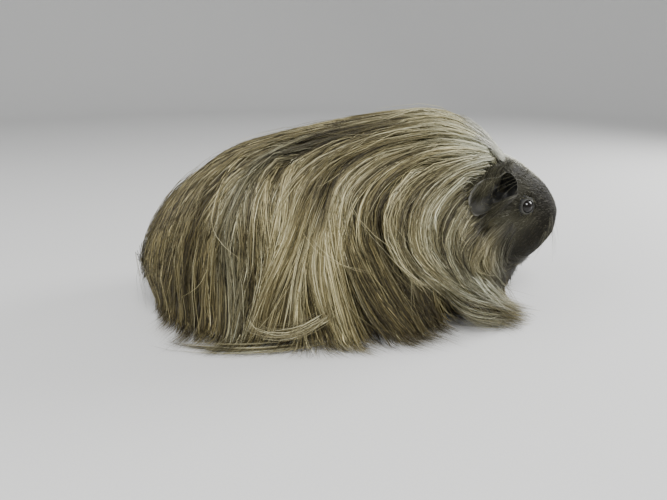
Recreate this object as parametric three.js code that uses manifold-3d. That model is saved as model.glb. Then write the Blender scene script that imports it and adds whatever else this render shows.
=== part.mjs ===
// A long-haired guinea pig at life size, standing still with its coat hanging to the floor.
// Millimetres. +X towards the nose, +Y to the animal's left, +Z up; the floor is z = 0 and the
// origin is on the floor under the middle of the animal.
// The coat is one outer shape, lofted from four outlines along X, that is then parted with thin
// cuts: the back above the skirt line, and the hanging skirt in panels below it. Under the belly
// the skirt is open, and the four feet stand inside it.
import * as THREE from "three";
import Module from "manifold-3d";

const wasm = await Module();
wasm.setup();

// Driving dimensions
const GAP = 0.3; // between neighbouring pieces
const FINENESS = 0.12; // facets flatter than this are joined
const FOOT_FINENESS = 0.2;
const LENGTH = 284; // nose to the last hair of the rump
const BACK_HEIGHT = 135; // the crest of the mane
const COAT_WIDTH = 144; // over the hem
const HALF = LENGTH / 2;
const SKIRT_TOP = 44; // where the back ends and the hanging skirt starts
const HEM_THICK = 8; // the skirt's wall at the floor
const EYE = { x: 112.8, y: 19.8, z: 75, radius: 4.7 };
const NOSE = { x: 139.5, z: 69.5, radius: 5, squash: [0.8, 1.25, 0.75], turn: [0, 0.35, 0] };
const MOUTH = { x: 130, z: 14.5, slope: -0.2, corner: 108, size: 80, height: 60 };
// The ear leans out by its slope as it hangs, and by its rake towards the back.
const EAR = { x: 95, y: 27.6, z: 88, thick: 1.8, canal: 3.2, slope: 0.3, rake: 0.13 };
// The mane frames the face in a round opening, and lies hollowed behind each ear.
const FACE_OPENING = { x: 116, z: 73.5, radius: 41.5, squash: [1, 2.2, 1] };
const EAR_HOLLOW = { x: 93, y: 44, z: 86, radius: 21, squash: [1.15, 1, 1.1] };
const BARREL = { from: -122, to: 92, middle: 50 }; // the body under the coat
const CAVITY = { from: -122, to: 92, top: 22 }; // the open space under the belly
const FORE_FOOT = { x: 68, y: 23, legTop: 25, length: 20, width: 11, toes: 4 };
const HIND_FOOT = { x: -66, y: 33, legTop: 22, length: 34, width: 14, toes: 3 };

// A smooth curve through a few [x, value] points, held level past its ends.
function through(points) {
  const xs = points.map((p) => p[0]);
  const curve = new THREE.CubicInterpolant(xs, points.map((p) => p[1]), 1);
  const [first, last] = [xs[0], xs[xs.length - 1]];
  return (x) => curve.evaluate(Math.min(Math.max(x, first), last))[0];
}

// The coat seen from the side: the line of the back, and the hem's height over the floor.
const coatTop = through([
  [-HALF, 30], [-137, 49], [-131, 61], [-120, 77], [-107, 91], [-92, 102.5], [-79, 110],
  [-52, 118], [-6, 128], [28, 133], [51, BACK_HEIGHT], [66, 132], [81, 124], [97, 108],
  [106, 88], [112, 62], [116, 34],
]);
const hemHeight = through([
  [-HALF, 14], [-132, 10], [-118, 5], [-106, 0], [72, 0], [86, 2], [98, 6], [108, 11], [116, 18],
]);
// The coat seen from above: at its widest, and at the hem.
const coatSide = through([
  [-HALF, 6], [-137, 24], [-130, 36], [-118, 48], [-100, 59], [-78, 66], [-50, 69], [-15, 70],
  [15, 68], [38, 62], [55, 55], [72, 50], [86, 44], [97, 37], [106, 28], [112, 18], [116, 6],
]);
const hemSide = through([
  [-HALF, 5], [-137, 17], [-128, 29], [-115, 42], [-100, 56], [-80, 68], [-50, COAT_WIDTH / 2],
  [-15, COAT_WIDTH / 2], [18, 71], [38, 62], [60, 46], [74, 41], [86, 35], [97, 25], [106, 15],
  [112, 8], [116, 3],
]);
const WIDEST_AT = 0.42; // of the back's height

// The partings between the big locks: x at each height, for one side of the coat.
const partings = {
  right: [
    through([[8, -19], [32, -32], [62, -30], [97, -13]]),
    through([[8, -60], [73, -51], [89, -51], [107, -54]]),
    through([[8, 38], [47, 20], [65, 13], [86, 7]]),
    through([[8, -92], [42, -96], [90, -80]]),
  ],
  left: [
    through([[8, 30], [50, 14], [90, 22]]),
    through([[8, -20], [60, -16], [100, -6]]),
    through([[8, -72], [60, -62], [105, -44]]),
    through([[8, -104], [50, -98], [90, -82]]),
  ],
};
const PARTING = { depth: 3.2, width: 4.5, fadeFrom: 98, fadeTo: 118 };

// How far the coat dips in towards the body at a point of one side.
function dip(x, z, side) {
  const fade = THREE.MathUtils.smoothstep(PARTING.fadeTo - z, 0, PARTING.fadeTo - PARTING.fadeFrom);
  const lines = side > 0 ? partings.left : partings.right;
  const grooves = lines.map((line) => Math.exp(-(((x - line(z)) / PARTING.width) ** 2)));
  return PARTING.depth * fade * Math.max(...grooves);
}

// Points in one flat list, and faces by their numbers, as a solid.
function solidFrom(points, faces) {
  return new wasm.Manifold(
    new wasm.Mesh({
      numProp: 3,
      vertProperties: new Float32Array(points),
      triVerts: new Uint32Array(faces),
    }),
  );
}

// A closed solid through rings of points, each ring seen from its high-x end as anticlockwise.
function loft(rings) {
  const around = rings[0].length;
  const points = [];
  const faces = [];
  rings.forEach((ring, i) => {
    ring.forEach((p, j) => {
      points.push(...p);
      if (i === 0) return;
      const [a, b] = [(i - 1) * around + j, (i - 1) * around + ((j + 1) % around)];
      faces.push(a, b, b + around, a, b + around, a + around);
    });
  });
  for (const [i, flip] of [[0, true], [rings.length - 1, false]]) {
    const centre = rings[i].reduce((sum, p) => sum.add(new THREE.Vector3(...p)), new THREE.Vector3());
    const at = points.length / 3;
    points.push(...centre.divideScalar(around).toArray());
    for (let j = 0; j < around; j++) {
      const [a, b] = [i * around + j, i * around + ((j + 1) % around)];
      faces.push(at, flip ? b : a, flip ? a : b);
    }
  }
  return solidFrom(points, faces);
}

// Even steps from first to last.
const steps = (first, last, count) =>
  Array.from({ length: count + 1 }, (_, i) => first + ((last - first) * i) / count);

// One cross-section of the coat, from the left hem over the back to the right hem.
const DOME_STEPS = 16;
const DROP_STEPS = 4;
const DOME_FULLNESS = { up: 0.88, out: 0.92 }; // 1 is an ellipse, less is fuller
const FLAT_OF_HEM = 0.6; // of its half width
function coatRing(x) {
  const [top, hem] = [coatTop(x), Math.max(0, hemHeight(x))];
  const wide = hem + (top - hem) * WIDEST_AT;
  const side = (y, z, sign) => [x, sign * (y - dip(x, z, sign)), z];
  const dome = steps(Math.PI, 0, DOME_STEPS).map((angle) => {
    const z = wide + (top - wide) * Math.sin(angle) ** DOME_FULLNESS.up;
    const sign = Math.cos(angle) > 0 ? 1 : -1;
    return side(coatSide(x) * Math.abs(Math.cos(angle)) ** DOME_FULLNESS.out, z, sign);
  });
  const drop = (sign) =>
    steps(0, 1, DROP_STEPS)
      .slice(1)
      .map((t) => side(THREE.MathUtils.lerp(coatSide(x), hemSide(x), t), wide + (hem - wide) * t, sign));
  const under = steps(FLAT_OF_HEM, -FLAT_OF_HEM, 3).map((t) => [x, t * hemSide(x), hem]);
  return [...dome, ...drop(1), ...under, ...drop(-1).reverse()].reverse();
}

// The coat's stations lie closer together towards both ends, where the outline turns fastest.
const COAT_FRONT = 116;
const EVEN_STRETCH = [-95, 84];
function coatSolid() {
  const [from, to] = EVEN_STRETCH;
  const rear = steps(0, 1, 10).map((t) => -HALF + (from + HALF) * t ** 1.5);
  const middle = steps(from, to, 22).slice(1, -1);
  const front = steps(0, 1, 8).map((t) => COAT_FRONT - (COAT_FRONT - to) * (1 - t) ** 1.3);
  return loft([...rear, ...middle, ...front].map(coatRing));
}

// The head with its short fur: top line, throat line, half width and the height where it is widest.
const HEAD_BACK = 70; // inside the mane
const headTop = through([
  [70, 110], [80, 111], [90, 111], [97, 109.5], [105, 106.5], [113, 102], [120, 96.5], [127, 90.5],
  [132, 85.5], [137, 78.5], [140, 73.5], [HALF, 69],
]);
const headThroat = through([
  [70, 42], [80, 35], [90, 29], [100, 25], [108, 23.5], [115, 26], [122, 31], [128, 36], [134, 42.5],
  [138, 48.5], [140.5, 55], [HALF, 61],
]);
const headSide = through([
  [70, 33], [80, 34.5], [90, 34], [100, 31], [108, 27], [113, 24.5], [120, 21], [127, 17.8], [133, 14.8],
  [138, 11], [141, 7], [HALF, 4.5],
]);
const jowlHeight = through([[70, 66], [90, 60], [113, 57], [128, 59], [HALF, 65]]);

function headRing(x, grow) {
  const middle = jowlHeight(x);
  return steps(0, 2 * Math.PI, 26)
    .slice(0, -1)
    .map((angle) => {
      const up = Math.sin(angle);
      const reach = up > 0 ? headTop(x) - middle : middle - headThroat(x);
      return [x, (headSide(x) + grow) * Math.cos(angle), middle + (reach + grow) * up];
    });
}

function headSolid(grow = 0) {
  const reach = HALF + grow - HEAD_BACK;
  const stations = steps(0, 1, 17).map((t) => HEAD_BACK + reach * (1 - (1 - t) ** 1.5));
  return loft(stations.map((x) => headRing(x, grow)));
}

// The body under the coat: its belly line and half width.
const bellyLine = through([
  [-122, 42], [-112, 27], [-96, 17], [-75, 13], [-40, 11], [0, 11], [40, 12], [65, 14], [80, 19], [92, 30],
]);
const barrelSide = through([
  [-122, 8], [-112, 28], [-92, 43], [-60, 50], [-20, 52], [20, 50], [50, 45], [75, 37], [92, 24],
]);
function barrelSolid(grow = 0) {
  const { from, to, middle } = BARREL;
  const ring = (x) =>
    steps(0, 2 * Math.PI, 24)
      .slice(0, -1)
      .map((angle) => {
        const depth = middle - bellyLine(x) + grow;
        return [x, (barrelSide(x) + grow) * Math.cos(angle), middle + depth * Math.sin(angle)];
      });
  return loft(steps(from - grow, to + grow, 14).map(ring));
}

// The open space under the belly, narrower at its top than at the floor.
function cavitySolid(inset = 0) {
  const [rearEnd, frontEnd] = [CAVITY.from + inset, CAVITY.to - inset];
  const [top, belowFloor] = [CAVITY.top - inset, -5];
  const ring = (x) => {
    const taper = Math.min(1, (x - rearEnd + 8) / 30, (frontEnd - x + 10) / 26);
    const low = (hemSide(x) - HEM_THICK) * taper - inset;
    const high = Math.min(low, barrelSide(x) * 0.8);
    return [[x, -high, top], [x, -low, belowFloor], [x, low, belowFloor], [x, high, top]];
  };
  return loft(steps(rearEnd, frontEnd, 18).map(ring));
}

// A closed three.js geometry as a solid, placed by a matrix.
function solidOf(geometry, matrix) {
  const g = geometry.clone().applyMatrix4(matrix);
  const place = g.attributes.position;
  const key = (i) => [place.getX(i), place.getY(i), place.getZ(i)].map((v) => v.toFixed(3)).join();
  const seen = new Map();
  const points = [];
  const slot = (i) => {
    const k = key(i);
    if (!seen.has(k)) {
      seen.set(k, points.length / 3);
      points.push(place.getX(i), place.getY(i), place.getZ(i));
    }
    return seen.get(k);
  };
  const faces = [];
  for (let i = 0; i < g.index.count; i += 3) {
    const [a, b, c] = [0, 1, 2].map((n) => slot(g.index.getX(i + n)));
    if (a !== b && b !== c && c !== a) faces.push(a, b, c);
  }
  return solidFrom(points, faces);
}

const placed = (x, y, z, turn = [0, 0, 0], size = [1, 1, 1]) =>
  new THREE.Matrix4().compose(
    new THREE.Vector3(x, y, z),
    new THREE.Quaternion().setFromEuler(new THREE.Euler(...turn)),
    new THREE.Vector3(...size),
  );

// The block of space between two corners.
const FAR = 400;
function block(low, high) {
  const size = low.map((v, i) => high[i] - v);
  const middle = low.map((v, i) => (v + high[i]) / 2);
  return solidOf(new THREE.BoxGeometry(...size), placed(...middle));
}

const ball = (x, y, z, radius, squash = [1, 1, 1], turn = [0, 0, 0], detail = 16) =>
  solidOf(new THREE.SphereGeometry(radius, detail, Math.ceil(detail * 0.6)), placed(x, y, z, turn, squash));

// One foot: a short leg, a low foot with its toes spread in a fan, and a claw on each toe. The sole
// is cut flat at the floor.
const TOE = { radius: 2.9, height: 2.4, squash: [1.9, 0.8, 0.9], fan: 0.9, outwards: 0.12 };
const CLAW = { radius: 1.1, length: 8, height: 2, ahead: 4.5, droop: 0.12 };
function footSolid({ x, y, legTop, length, width, toes }, side) {
  const middle = side * y;
  const leg = ball(x - length * 0.2, middle, legTop * 0.55, width * 0.6, [1.1, 1, 1.6], [0, 0, 0], 8);
  const pad = ball(x, middle, 3.5, width / 2, [length / width, 1, 0.7], [0, 0, 0], 10);
  let foot = leg.add(pad);
  for (let i = 0; i < toes; i++) {
    const spread = ((i - (toes - 1) / 2) / toes) * TOE.fan + side * TOE.outwards;
    const reach = length * (0.62 - 0.3 * spread * spread);
    const along = (distance) => [x + Math.cos(spread) * distance, middle + Math.sin(spread) * distance];
    const toe = ball(...along(reach * 0.85), TOE.height, TOE.radius, TOE.squash, [0, 0, spread], 6);
    const claw = solidOf(
      new THREE.ConeGeometry(CLAW.radius, CLAW.length, 5),
      placed(...along(reach + CLAW.ahead), CLAW.height, [0, CLAW.droop, spread - Math.PI / 2]),
    );
    foot = foot.add(toe).add(claw);
  }
  return foot.intersect(block([-FAR, -FAR, 0], [FAR, FAR, FAR]));
}

// The ear's flap, a cupped petal round the canal: how far its rim reaches and stands off the head,
// by the direction round the canal, 0 towards the nose and 90 upwards.
const rimReach = through([
  [-100, 8.5], [-60, 7.5], [-20, 8.5], [20, 10.5], [60, 12], [95, 13], [130, 15.5], [170, 19],
  [205, 22.5], [225, 22.5], [245, 15], [260, 8.5],
]);
const rimStand = through([[-100, 2], [-30, 3], [40, 6], [95, 9.5], [150, 10.5], [205, 8], [260, 2]]);
const RIM_FROM = -100;
function earSolid(side) {
  const [turns, rows] = [18, 4];
  const surface = (degrees, t, lift) => {
    const angle = THREE.MathUtils.degToRad(degrees);
    const reach = THREE.MathUtils.lerp(EAR.canal, rimReach(degrees), t);
    const stand = rimStand(degrees) * Math.sin((t * Math.PI) / 2) + lift;
    const [dx, dz] = [reach * Math.cos(angle), reach * Math.sin(angle)];
    const out = EAR.y + stand - EAR.rake * dx - EAR.slope * dz;
    return [EAR.x + dx, side * out, EAR.z + dz];
  };
  const inner = steps(0, 1, rows).map((t) => (d) => surface(d, t, EAR.thick / 2));
  const outer = steps(1, 0, rows).map((t) => (d) => surface(d, t, -EAR.thick / 2));
  const wall = [...inner, ...outer];
  const points = steps(RIM_FROM, RIM_FROM + 360, turns)
    .slice(0, -1)
    .flatMap((degrees) => wall.flatMap((at) => at(degrees)));
  const faces = [];
  for (let i = 0; i < turns; i++) {
    for (let j = 0; j < wall.length; j++) {
      const corner = (di, dj) => ((i + di) % turns) * wall.length + ((j + dj) % wall.length);
      const [a, b, c, d] = [corner(0, 0), corner(0, 1), corner(1, 0), corner(1, 1)];
      faces.push(...(side > 0 ? [a, d, b, a, c, d] : [a, b, d, a, d, c]));
    }
  }
  return solidFrom(points, faces);
}

const finishes = {
  coat: { color: 0x7d745a, roughness: 0.6, metalness: 0 },
  face: { color: 0x34322b, roughness: 0.6, metalness: 0 },
  skin: { color: 0x3b3330, roughness: 0.7, metalness: 0 },
  eye: { color: 0x0b0909, roughness: 0.08, metalness: 0 },
};
const animal = new THREE.Group();

function addPiece(name, finish, solid, fineness = FINENESS) {
  const { vertProperties, triVerts } = solid.simplify(fineness).getMesh();
  const geometry = new THREE.BufferGeometry()
    .setAttribute("position", new THREE.BufferAttribute(new Float32Array(vertProperties), 3))
    .setIndex(new THREE.BufferAttribute(new Uint32Array(triVerts), 1));
  geometry.computeVertexNormals();
  const mesh = new THREE.Mesh(geometry, new THREE.MeshStandardMaterial(finishes[finish]));
  mesh.name = name;
  animal.add(mesh);
}

// Between two stations, less half a gap at each.
const slice = (from, to) => block([from + GAP / 2, -FAR, -FAR], [to - GAP / 2, FAR, FAR]);
const sideOf = (side) => block([-FAR, side > 0 ? GAP / 2 : -FAR, -FAR], [FAR, side > 0 ? FAR : -GAP / 2, FAR]);
const sides = [["left", 1], ["right", -1]];

const coat = coatSolid();
const head = headSolid();
const headRoom = headSolid(GAP);
const faceOpening = ball(
  FACE_OPENING.x, 0, FACE_OPENING.z, FACE_OPENING.radius, FACE_OPENING.squash, [0, 0, 0], 22,
);
const earHollows = sides.map(([, side]) =>
  ball(EAR_HOLLOW.x, side * EAR_HOLLOW.y, EAR_HOLLOW.z, EAR_HOLLOW.radius, EAR_HOLLOW.squash),
);

// The head, with room for the nose and eyes, and parted from the jaw by a cut that rises from the
// mouth's corner to the lips.
const mouthSolid = (grow) =>
  solidOf(
    new THREE.BoxGeometry(MOUTH.size + grow, MOUTH.size, MOUTH.height + 2 * grow),
    placed(MOUTH.x, 0, MOUTH.z, [0, MOUTH.slope, 0]),
  ).intersect(block([MOUTH.corner - grow, -FAR, -FAR], [FAR, FAR, FAR]));
const noseSolid = (grow) =>
  ball(NOSE.x, 0, NOSE.z, NOSE.radius + grow, NOSE.squash, NOSE.turn, 12);
const eyeSolid = (side, grow) => ball(EYE.x, side * EYE.y, EYE.z, EYE.radius + grow, [1, 1, 1], [0, 0, 0], 12);

let skull = head.subtract(noseSolid(GAP)).subtract(mouthSolid(GAP));
for (const [name, side] of sides) {
  skull = skull.subtract(eyeSolid(side, GAP));
  addPiece(`eye_${name}`, "eye", eyeSolid(side, 0));
  addPiece(`ear_${name}`, "face", earSolid(side).subtract(headRoom));
}
addPiece("head", "face", skull);
addPiece("jaw", "face", head.intersect(mouthSolid(0)));
addPiece("nose", "skin", noseSolid(0));

// The back above the skirt line, joined to the body under the coat, and cut into four.
const BACK_CUTS = { rump: [-FAR, -62], back: [-62, 2], shoulders: [2, 46], neck: [46, FAR] };
const upper = coat.intersect(block([-FAR, -FAR, SKIRT_TOP], [FAR, FAR, FAR]));
let torso = upper.add(coat.intersect(barrelSolid())).subtract(headRoom).subtract(faceOpening);
earHollows.forEach((hollow) => (torso = torso.subtract(hollow)));
for (const [name, [from, to]] of Object.entries(BACK_CUTS)) {
  addPiece(name, "coat", torso.intersect(slice(from, to)));
}

// The hanging skirt, in panels round the body, and the bib that closes it in front.
const CHEST_FROM = 84;
const PANELS = {
  rump: [-FAR, -96],
  hip: [-96, -52],
  flank: [-52, -2],
  side: [-2, 42],
  shoulder: [42, CHEST_FROM],
};
const hanging = coat.intersect(block([-FAR, -FAR, 0], [FAR, FAR, SKIRT_TOP - GAP]));
const skirt = hanging
  .subtract(barrelSolid(GAP))
  .subtract(cavitySolid())
  .subtract(headRoom)
  .subtract(faceOpening);
for (const [name, side] of sides) {
  for (const [panel, [from, to]] of Object.entries(PANELS)) {
    addPiece(`coat_${panel}_${name}`, "coat", skirt.intersect(slice(from, to)).intersect(sideOf(side)));
  }
}
addPiece("chest", "coat", skirt.intersect(slice(CHEST_FROM, FAR)));

// The four feet, cut off where they meet the belly and the inside of the skirt.
const footRoom = cavitySolid(GAP).subtract(barrelSolid(GAP));
for (const [name, side] of sides) {
  const [fore, hind] = [footSolid(FORE_FOOT, side), footSolid(HIND_FOOT, side)];
  addPiece(`foreleg_${name}`, "skin", fore.intersect(footRoom), FOOT_FINENESS);
  addPiece(`hindleg_${name}`, "skin", hind.intersect(footRoom), FOOT_FINENESS);
}

export default animal;
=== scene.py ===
import math

import bpy
import numpy as np
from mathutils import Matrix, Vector
from mathutils.bvhtree import BVHTree


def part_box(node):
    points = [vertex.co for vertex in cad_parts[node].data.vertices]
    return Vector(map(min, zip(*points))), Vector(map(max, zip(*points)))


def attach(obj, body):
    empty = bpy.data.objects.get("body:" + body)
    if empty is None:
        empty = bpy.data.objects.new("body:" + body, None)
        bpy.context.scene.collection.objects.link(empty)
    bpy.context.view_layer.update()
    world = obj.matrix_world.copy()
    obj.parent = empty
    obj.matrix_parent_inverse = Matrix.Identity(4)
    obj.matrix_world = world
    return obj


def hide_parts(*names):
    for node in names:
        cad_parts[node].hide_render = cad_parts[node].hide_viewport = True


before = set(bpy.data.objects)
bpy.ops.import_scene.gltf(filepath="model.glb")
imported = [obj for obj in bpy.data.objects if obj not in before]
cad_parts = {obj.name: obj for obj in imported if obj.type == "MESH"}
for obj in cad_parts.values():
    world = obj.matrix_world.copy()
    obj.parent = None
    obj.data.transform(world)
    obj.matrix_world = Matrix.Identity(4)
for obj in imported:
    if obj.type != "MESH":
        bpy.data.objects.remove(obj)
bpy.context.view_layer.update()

MM = 0.001
SIDES = {"left": 1, "right": -1}  # the sign of Y on each side
rng = np.random.default_rng(20)


# ---------------------------------------------------------------- small tools


def smooth(value, low, high):
    """0 below low, 1 above high, and an even ease between them."""
    t = np.clip((value - low) / (high - low), 0, 1)
    return t * t * (3 - 2 * t)


def ebb(value, low, high):
    """1 below low, 0 above high, and an even ease between them."""
    return smooth(-value, -high, -low)


def bell(distance, width):
    """1 at no distance, and falling away evenly past a width."""
    return np.exp(-((distance / width) ** 2))


def unit(vectors):
    """The same directions, one long."""
    return vectors / np.maximum(np.linalg.norm(vectors, axis=-1, keepdims=True), 1e-9)


def make_mesh(name, points, quads, tris=None):
    """A mesh object straight from arrays: points in millimetres, quads (n, 4), tris (m, 3)."""
    tris = np.zeros((0, 3), int) if tris is None else tris
    mesh = bpy.data.meshes.new(name)
    loops = np.concatenate([quads.ravel(), tris.ravel()]).astype(np.int32)
    counts = np.concatenate([np.full(len(quads), 4), np.full(len(tris), 3)])
    starts = np.concatenate([[0], np.cumsum(counts)[:-1]]).astype(np.int32)
    mesh.vertices.add(len(points))
    mesh.vertices.foreach_set("co", (points * MM).astype(np.float32).ravel())
    mesh.loops.add(len(loops))
    mesh.loops.foreach_set("vertex_index", loops)
    mesh.polygons.add(len(counts))
    mesh.polygons.foreach_set("loop_start", starts)
    mesh.update(calc_edges=True)
    mesh.shade_smooth()
    obj = bpy.data.objects.new(name, mesh)
    bpy.context.scene.collection.objects.link(obj)
    return obj


def set_colours(obj, colours):
    """The colour of each point, kept on the mesh as its markings and painted light."""
    layer = obj.data.color_attributes.new("marking_and_painted_light", "FLOAT_COLOR", "POINT")
    rgba = np.ones((len(colours), 4), np.float32)
    rgba[:, : colours.shape[1]] = colours
    layer.data.foreach_set("color", rgba.ravel())


def net_faces(rows, columns, close_rows=False):
    """Quads over a net of points numbered row by row, whose rows are closed rings."""
    r = np.arange(rows if close_rows else rows - 1)
    r, c = np.meshgrid(r, np.arange(columns), indexing="ij")
    r2, c2 = (r + 1) % rows, (c + 1) % columns
    quads = np.stack([r * columns + c, r * columns + c2, r2 * columns + c2, r2 * columns + c], -1)
    return quads.reshape(-1, 4)


# ---------------------------------------------------------------- the form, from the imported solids

TRUNK_AXIS = 45.0  # the height of the trunk's middle line
COAT_NODES = [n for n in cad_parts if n.startswith("coat_")]
COAT_NODES += ["neck", "shoulders", "back", "rump", "chest"]
HEAD_NODES = ["head", "jaw", "nose"]
FAR = 260.0  # where the rays start that feel for the form, well outside it


def axis_height(x):
    """The height of the line that the body's rings are measured from."""
    rise = 17 * smooth(x, 68, 112) + 4 * smooth(x, 124, 142)
    return TRUNK_AXIS + rise - 23 * ebb(x, -141, -106)


def ring_point(x, angle, reach):
    """The place at a reach from the body's axis, by station and angle."""
    a = np.radians(angle)
    return np.stack([x + 0 * reach, -reach * np.sin(a), axis_height(x) + reach * np.cos(a)], -1)


def tree_of(names):
    """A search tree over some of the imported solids."""
    points, faces = [], []
    for name in names:
        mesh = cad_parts[name].data
        start = len(points)
        points += [v.co / MM for v in mesh.vertices]
        faces += [[start + i for i in p.vertices] for p in mesh.polygons]
    return BVHTree.FromPolygons(points, faces)


class Form:
    """How far a shape reaches from the body's axis, by station along X and by angle round it.
    The angle is 0 at the spine, 90 at the middle of the right side and -90 at the left."""

    def __init__(self, stations, reach, angles):
        self.stations = stations
        self.angles = angles
        self.reach = reach

    @classmethod
    def of(cls, names, stations, turns):
        """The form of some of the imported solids, felt by rays from outside."""
        tree = tree_of(names)
        angles = np.linspace(-180, 180, turns + 1)
        reach = np.zeros((len(stations), turns + 1))
        for i, x in enumerate(stations):
            height = float(axis_height(x))
            for j, angle in enumerate(np.radians(angles)):
                out = np.array([0.0, -math.sin(angle), math.cos(angle)])
                start = np.array([x, 0.0, height]) + FAR * out
                hit = tree.ray_cast(start.tolist(), (-out).tolist(), FAR)
                reach[i, j] = FAR - hit[3] if hit[0] is not None else 0.0
        return cls(stations, reach, angles)

    def softened(self, along, around):
        """The same form with its facets and steps eased, by so many cells each way."""
        reach = self.reach.copy()
        for _ in range(along):
            padded = np.pad(reach, ((1, 1), (0, 0)), mode="edge")
            reach = (padded[:-2] + 2 * padded[1:-1] + padded[2:]) / 4
        for _ in range(around):
            ring = reach[:, :-1]
            ring = (np.roll(ring, 1, 1) + 2 * ring + np.roll(ring, -1, 1)) / 4
            reach = np.concatenate([ring, ring[:, :1]], 1)
        return Form(self.stations, reach, self.angles)

    def radius(self, x, angle):
        """The reach at any station and angle."""
        angle = (np.asarray(angle) + 180) % 360 - 180
        i = np.interp(x, self.stations, np.arange(len(self.stations)))
        j = (angle + 180) / 360 * (len(self.angles) - 1)
        i0 = np.clip(i.astype(int), 0, len(self.stations) - 2)
        j0 = np.clip(j.astype(int), 0, len(self.angles) - 2)
        u, v = i - i0, j - j0
        r = self.reach
        low = r[i0, j0] * (1 - v) + r[i0, j0 + 1] * v
        high = r[i0 + 1, j0] * (1 - v) + r[i0 + 1, j0 + 1] * v
        return low * (1 - u) + high * u

    def point(self, x, angle, depth=0.0):
        """A place at a depth under the form's surface."""
        return ring_point(x, angle, np.maximum(self.radius(x, angle) - depth, 0))


REAR, FRONT = -142.0, 142.6  # the form's two ends along X
HEAD_FROM = 71.0  # where the head's solids start
END_ROOM = 0.4  # how far inside its ends a form is felt
body_stations = np.linspace(REAR + END_ROOM, FRONT - END_ROOM, 142)
to_the_nose = 1 - (1 - np.linspace(0, 1, 110)) ** 1.7  # closer together towards the nose
head_stations = HEAD_FROM + (FRONT - 0.1 - HEAD_FROM) * to_the_nose
coat_form = Form.of(COAT_NODES + HEAD_NODES, body_stations, 120).softened(2, 2)
head_form = Form.of(HEAD_NODES, head_stations, 144).softened(3, 4)


# ---------------------------------------------------------------- skin

BACK_COAT = 13.0  # how deep the coat is over the back
FLANK_COAT = 19.0
BELLY_CLEAR = 13.0  # from the belly to the floor
LEAST_REACH = 4.0
TRUNK_END = -92.0  # where the trunk starts to round off to the rear
TRUNK_CAP = 32.0  # how long its rounded end is
TRUNK_FRONT = 104.0  # where the trunk has gone into the head
NOSE_FROM = 139.0  # where the nose rounds off to its tip
NECK_BLEND = 10  # higher joins trunk and head with a tighter hollow
SKIN_TURNS = 168


def trunk_reach(x, angle):
    """The trunk under the coat: rings that are an ellipse above and a flatter one below."""
    a = np.radians(angle)
    side = np.maximum(coat_form.radius(x, 90 + 0 * x) - FLANK_COAT, LEAST_REACH)
    up = np.maximum(coat_form.radius(x, 0 * x) - BACK_COAT, LEAST_REACH)
    down = np.maximum(axis_height(x) - BELLY_CLEAR, LEAST_REACH)
    height = np.where(np.cos(a) > 0, up, down)
    reach = 1 / np.sqrt((np.sin(a) / side) ** 2 + (np.cos(a) / height) ** 2)
    rear = np.sqrt(np.clip(1 - ((TRUNK_END - x) / TRUNK_CAP).clip(0) ** 2, 0, 1))
    front = 1 - 0.5 * smooth(x, 74, TRUNK_FRONT)
    return reach * rear * front


def head_reach(x, angle):
    """The head under its own fur, rounded off to the nose."""
    fur = 0.9 + 1.0 * ebb(x, 95, 128)
    tip = np.sqrt(np.clip(1 - ((x - 136.5) / (FRONT - 136.4)).clip(0) ** 2, 0, 1))
    reach = (head_form.radius(x, angle) - fur) * (0.25 + 0.75 * tip)
    nose = np.sqrt(np.clip((FRONT - x) / (FRONT - NOSE_FROM), 0, 1)) ** 0.6
    reach = np.where(x > NOSE_FROM, reach * nose, reach)
    return np.where(x > HEAD_FROM, np.maximum(reach, 0.02), 0)


def skin_reach(x, angle):
    """Trunk and head as one form, eased into each other at the neck."""
    trunk = np.where(x < TRUNK_FRONT, trunk_reach(x, angle), 0)
    return (trunk**NECK_BLEND + head_reach(x, angle) ** NECK_BLEND) ** (1 / NECK_BLEND)


def eye_of(side_name):
    """The middle and the radius of an eyeball."""
    low, high = (np.array(corner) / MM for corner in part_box(f"eye_{side_name}"))
    return (low + high) / 2, float((high - low)[0] / 2)


def gaze(side):
    """The way an eye looks: out, a little forward and up."""
    return unit(np.array([0.28, side * 0.95, 0.14]))


def eye_axes(side):
    """The gaze, and the two ways across it: forward and up."""
    ahead = gaze(side)
    forward = unit(np.array([1.0, 0, 0]) - ahead[0] * ahead)
    return ahead, forward, np.cross(ahead, forward) * side


NOSE_HEIGHT = 69.0
LIP_HEIGHT = 56.0
LID_REACH = 8.2  # from the gaze's axis to where the lids pass under the face's skin


def sink_socket(points, centre, radius, side):
    """Sinks the skin round the eye a little below the lids, and right behind the eyeball."""
    ahead, forward, up = eye_axes(side)
    away = points - centre
    off = np.hypot(away @ forward, away @ up)
    near = (away @ ahead > -radius) * (1 - smooth(off, LID_REACH - 2.4, LID_REACH - 0.4))
    depth = 0.7 * near + 3.4 * near * (1 - smooth(off, radius - 1.2, radius + 1.2))
    return points - ahead * depth[:, None]


def shape_face(points, normals):
    """Nostrils with their wings, the cleft under them, and the lips with the mouth's line."""
    x, y, z = points.T
    out, above = np.abs(y), z - NOSE_HEIGHT
    nostril = bell(np.hypot(out - 2.6 - 0.25 * above, above * 0.75), 0.95) * smooth(x, 138, 139.5)
    wing = bell(np.hypot(out - 4.1, (above - 0.3) * 0.8), 1.3) * smooth(x, 137, 139.5)
    cleft = bell(out, 0.55) * smooth(z, LIP_HEIGHT - 1, LIP_HEIGHT + 2) * ebb(z, 63.5, 66.5)
    cleft *= smooth(x, 136, 139)
    mouth_line = LIP_HEIGHT - 0.055 * out**2 - 0.12 * np.clip(140 - x, 0, None)
    mouth = bell(z - mouth_line, 0.75) * smooth(x, 126.5, 132) * ebb(out, 9, 13.5)
    mouth *= smooth(normals[:, 0], -0.2, 0.1)
    lip = bell(z - mouth_line - 2.8, 1.8) * smooth(x, 129, 135)
    depth = 1.5 * nostril - 0.45 * wing + 0.7 * cleft + 1.0 * mouth - 0.5 * lip
    return points - normals * depth[:, None]


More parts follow.
